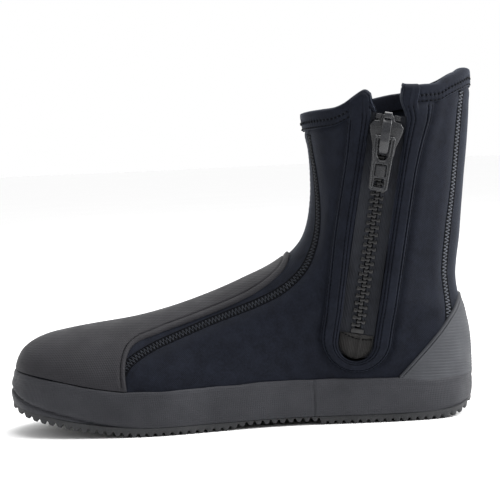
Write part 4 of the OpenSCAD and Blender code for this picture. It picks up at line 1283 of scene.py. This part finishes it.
def seam_tapes():
    for name, line, low, high, inward in (("seam_tape_front", FRONT_SEAM_POLAR, -45, 10.8, 1),
                                          ("seam_tape_back", BACK_SEAM_POLAR, -18, 11.4, -1)):
        a = np.linspace(low, high, 120)
        u = np.linspace(-1, 1, 9)[None]
        tapes = Bundle()
        for side in (-1, 1):
            r = track(line, a)[:, None] + u * 6
            if inward > 0:
                r = np.maximum(r, front_r(a)[:, None] + 2.2) + (u + 1) * 0.6
            else:
                r = np.minimum(r, rear_r(a)[:, None] - 2.5) + (u - 1) * 0.4
            x, z = on_ray(a[:, None], r)
            edge_fade = 0.25 * np.abs(u) ** 6
            outer = skin(x, z, side, -NEOPRENE - CLEAR)
            inner = skin(x, z, side, -NEOPRENE - CLEAR - 0.5 + edge_fade)
            verts = np.concatenate([outer.reshape(-1, 3), inner.reshape(-1, 3)])
            tapes.add(verts, grid_faces(*x.shape, False, None).tolist())
        tapes.build(name, LINING_PAINT)


def inner_layers():
    for name, paint in (("midsole", FOAM_PAINT), ("lasting_board", BOARD_PAINT)):
        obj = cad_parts[name]
        obj.data.materials.clear()
        obj.data.materials.append(paint)


# --- scene ---


def camera():
    data = bpy.data.cameras.new("camera")
    data.lens, data.sensor_width = 114.1, 36
    data.clip_start = 0.05
    obj = bpy.data.objects.new("camera", data)
    place, aim = Vector((0.005, -1.0, 0.165)), Vector((0.005, 0, 0.107))
    turn = (aim - place).to_track_quat("-Z", "Y").to_matrix() @ Matrix.Rotation(math.radians(-2.6), 3, "Z")
    obj.matrix_world = Matrix.Translation(place) @ turn.to_4x4()
    bpy.context.scene.collection.objects.link(obj)
    bpy.context.scene.camera = obj


def floor():
    mesh = bpy.data.meshes.new("floor")
    mesh.from_pydata([(-30, -30, 0), (30, -30, 0), (30, 30, 0), (-30, 30, 0)], [], [(0, 1, 2, 3)])
    p = Paint("floor", "", Roughness=1.0, Specular_IOR_Level=0.0)
    p.feed(p.shader, {"Base Color": p.blend(p.noise(300, 2), (0.95, 0.95, 0.95), (0.98, 0.98, 0.98))})
    mesh.materials.append(p.material)
    obj = bpy.data.objects.new("floor", mesh)
    bpy.context.scene.collection.objects.link(obj)


def light(name, place, size, power, aim=(0, 0, 0.1)):
    data = bpy.data.lights.new(name, "AREA")
    data.shape, data.size, data.size_y, data.energy = "RECTANGLE", size[0], size[1], power
    obj = bpy.data.objects.new(name, data)
    obj.location = place
    obj.rotation_euler = (Vector(aim) - Vector(place)).to_track_quat("-Z", "Y").to_euler()
    bpy.context.scene.collection.objects.link(obj)


def lights():
    world = bpy.data.worlds.new("studio")
    world.use_nodes = True
    tree = world.node_tree
    back = tree.nodes["Background"]
    back.inputs["Color"].default_value = (1, 1, 1, 1)
    # The room is dimmer behind the photographer, and its walls look white all round
    place, toward = tree.nodes.new("ShaderNodeTexCoord"), tree.nodes.new("ShaderNodeVectorMath")
    toward.operation = "DOT_PRODUCT"
    toward.inputs[1].default_value = (0.35, 0.94, 0)
    kinds = "ShaderNodeMapRange", "ShaderNodeLightPath", "ShaderNodeMix"
    dim, seen, pick = (tree.nodes.new(kind) for kind in kinds)
    dim.inputs["From Min"].default_value, dim.inputs["From Max"].default_value = -0.75, 0.35
    dim.inputs["To Min"].default_value, dim.inputs["To Max"].default_value = 0.42, 1.36
    pick.inputs[3].default_value = 1.0
    for a, b in ((place.outputs["Generated"], toward.inputs[0]),
                 (toward.outputs["Value"], dim.inputs["Value"]),
                 (seen.outputs["Is Camera Ray"], pick.inputs[0]),
                 (dim.outputs[0], pick.inputs[2]),
                 (pick.outputs[0], back.inputs["Strength"])):
        tree.links.new(a, b)
    bpy.context.scene.world = world
    bpy.context.scene.view_settings.view_transform = "Standard"
    light("key", (1.4, -0.3, 0.9), (1.1, 1.2), 40)
    light("top", (0.1, -0.1, 1.6), (1.0, 0.6), 16)
    light("fill", (-1.2, -0.8, 0.5), (0.15, 1.2), 3)


for build in (camera, floor, lights, front_panel, back_panel, lateral_quarter, medial_quarter, toe_guard,
              heel_counter, foxing_band, outsole, insole, collar_binding, seam_stitches, hem_stitches,
              zip_facing, zip_gusset, zip_tapes, zip_teeth, zip_stops, zip_end_patch, slider, pull_tab,
              seam_tapes, inner_layers):
    build()
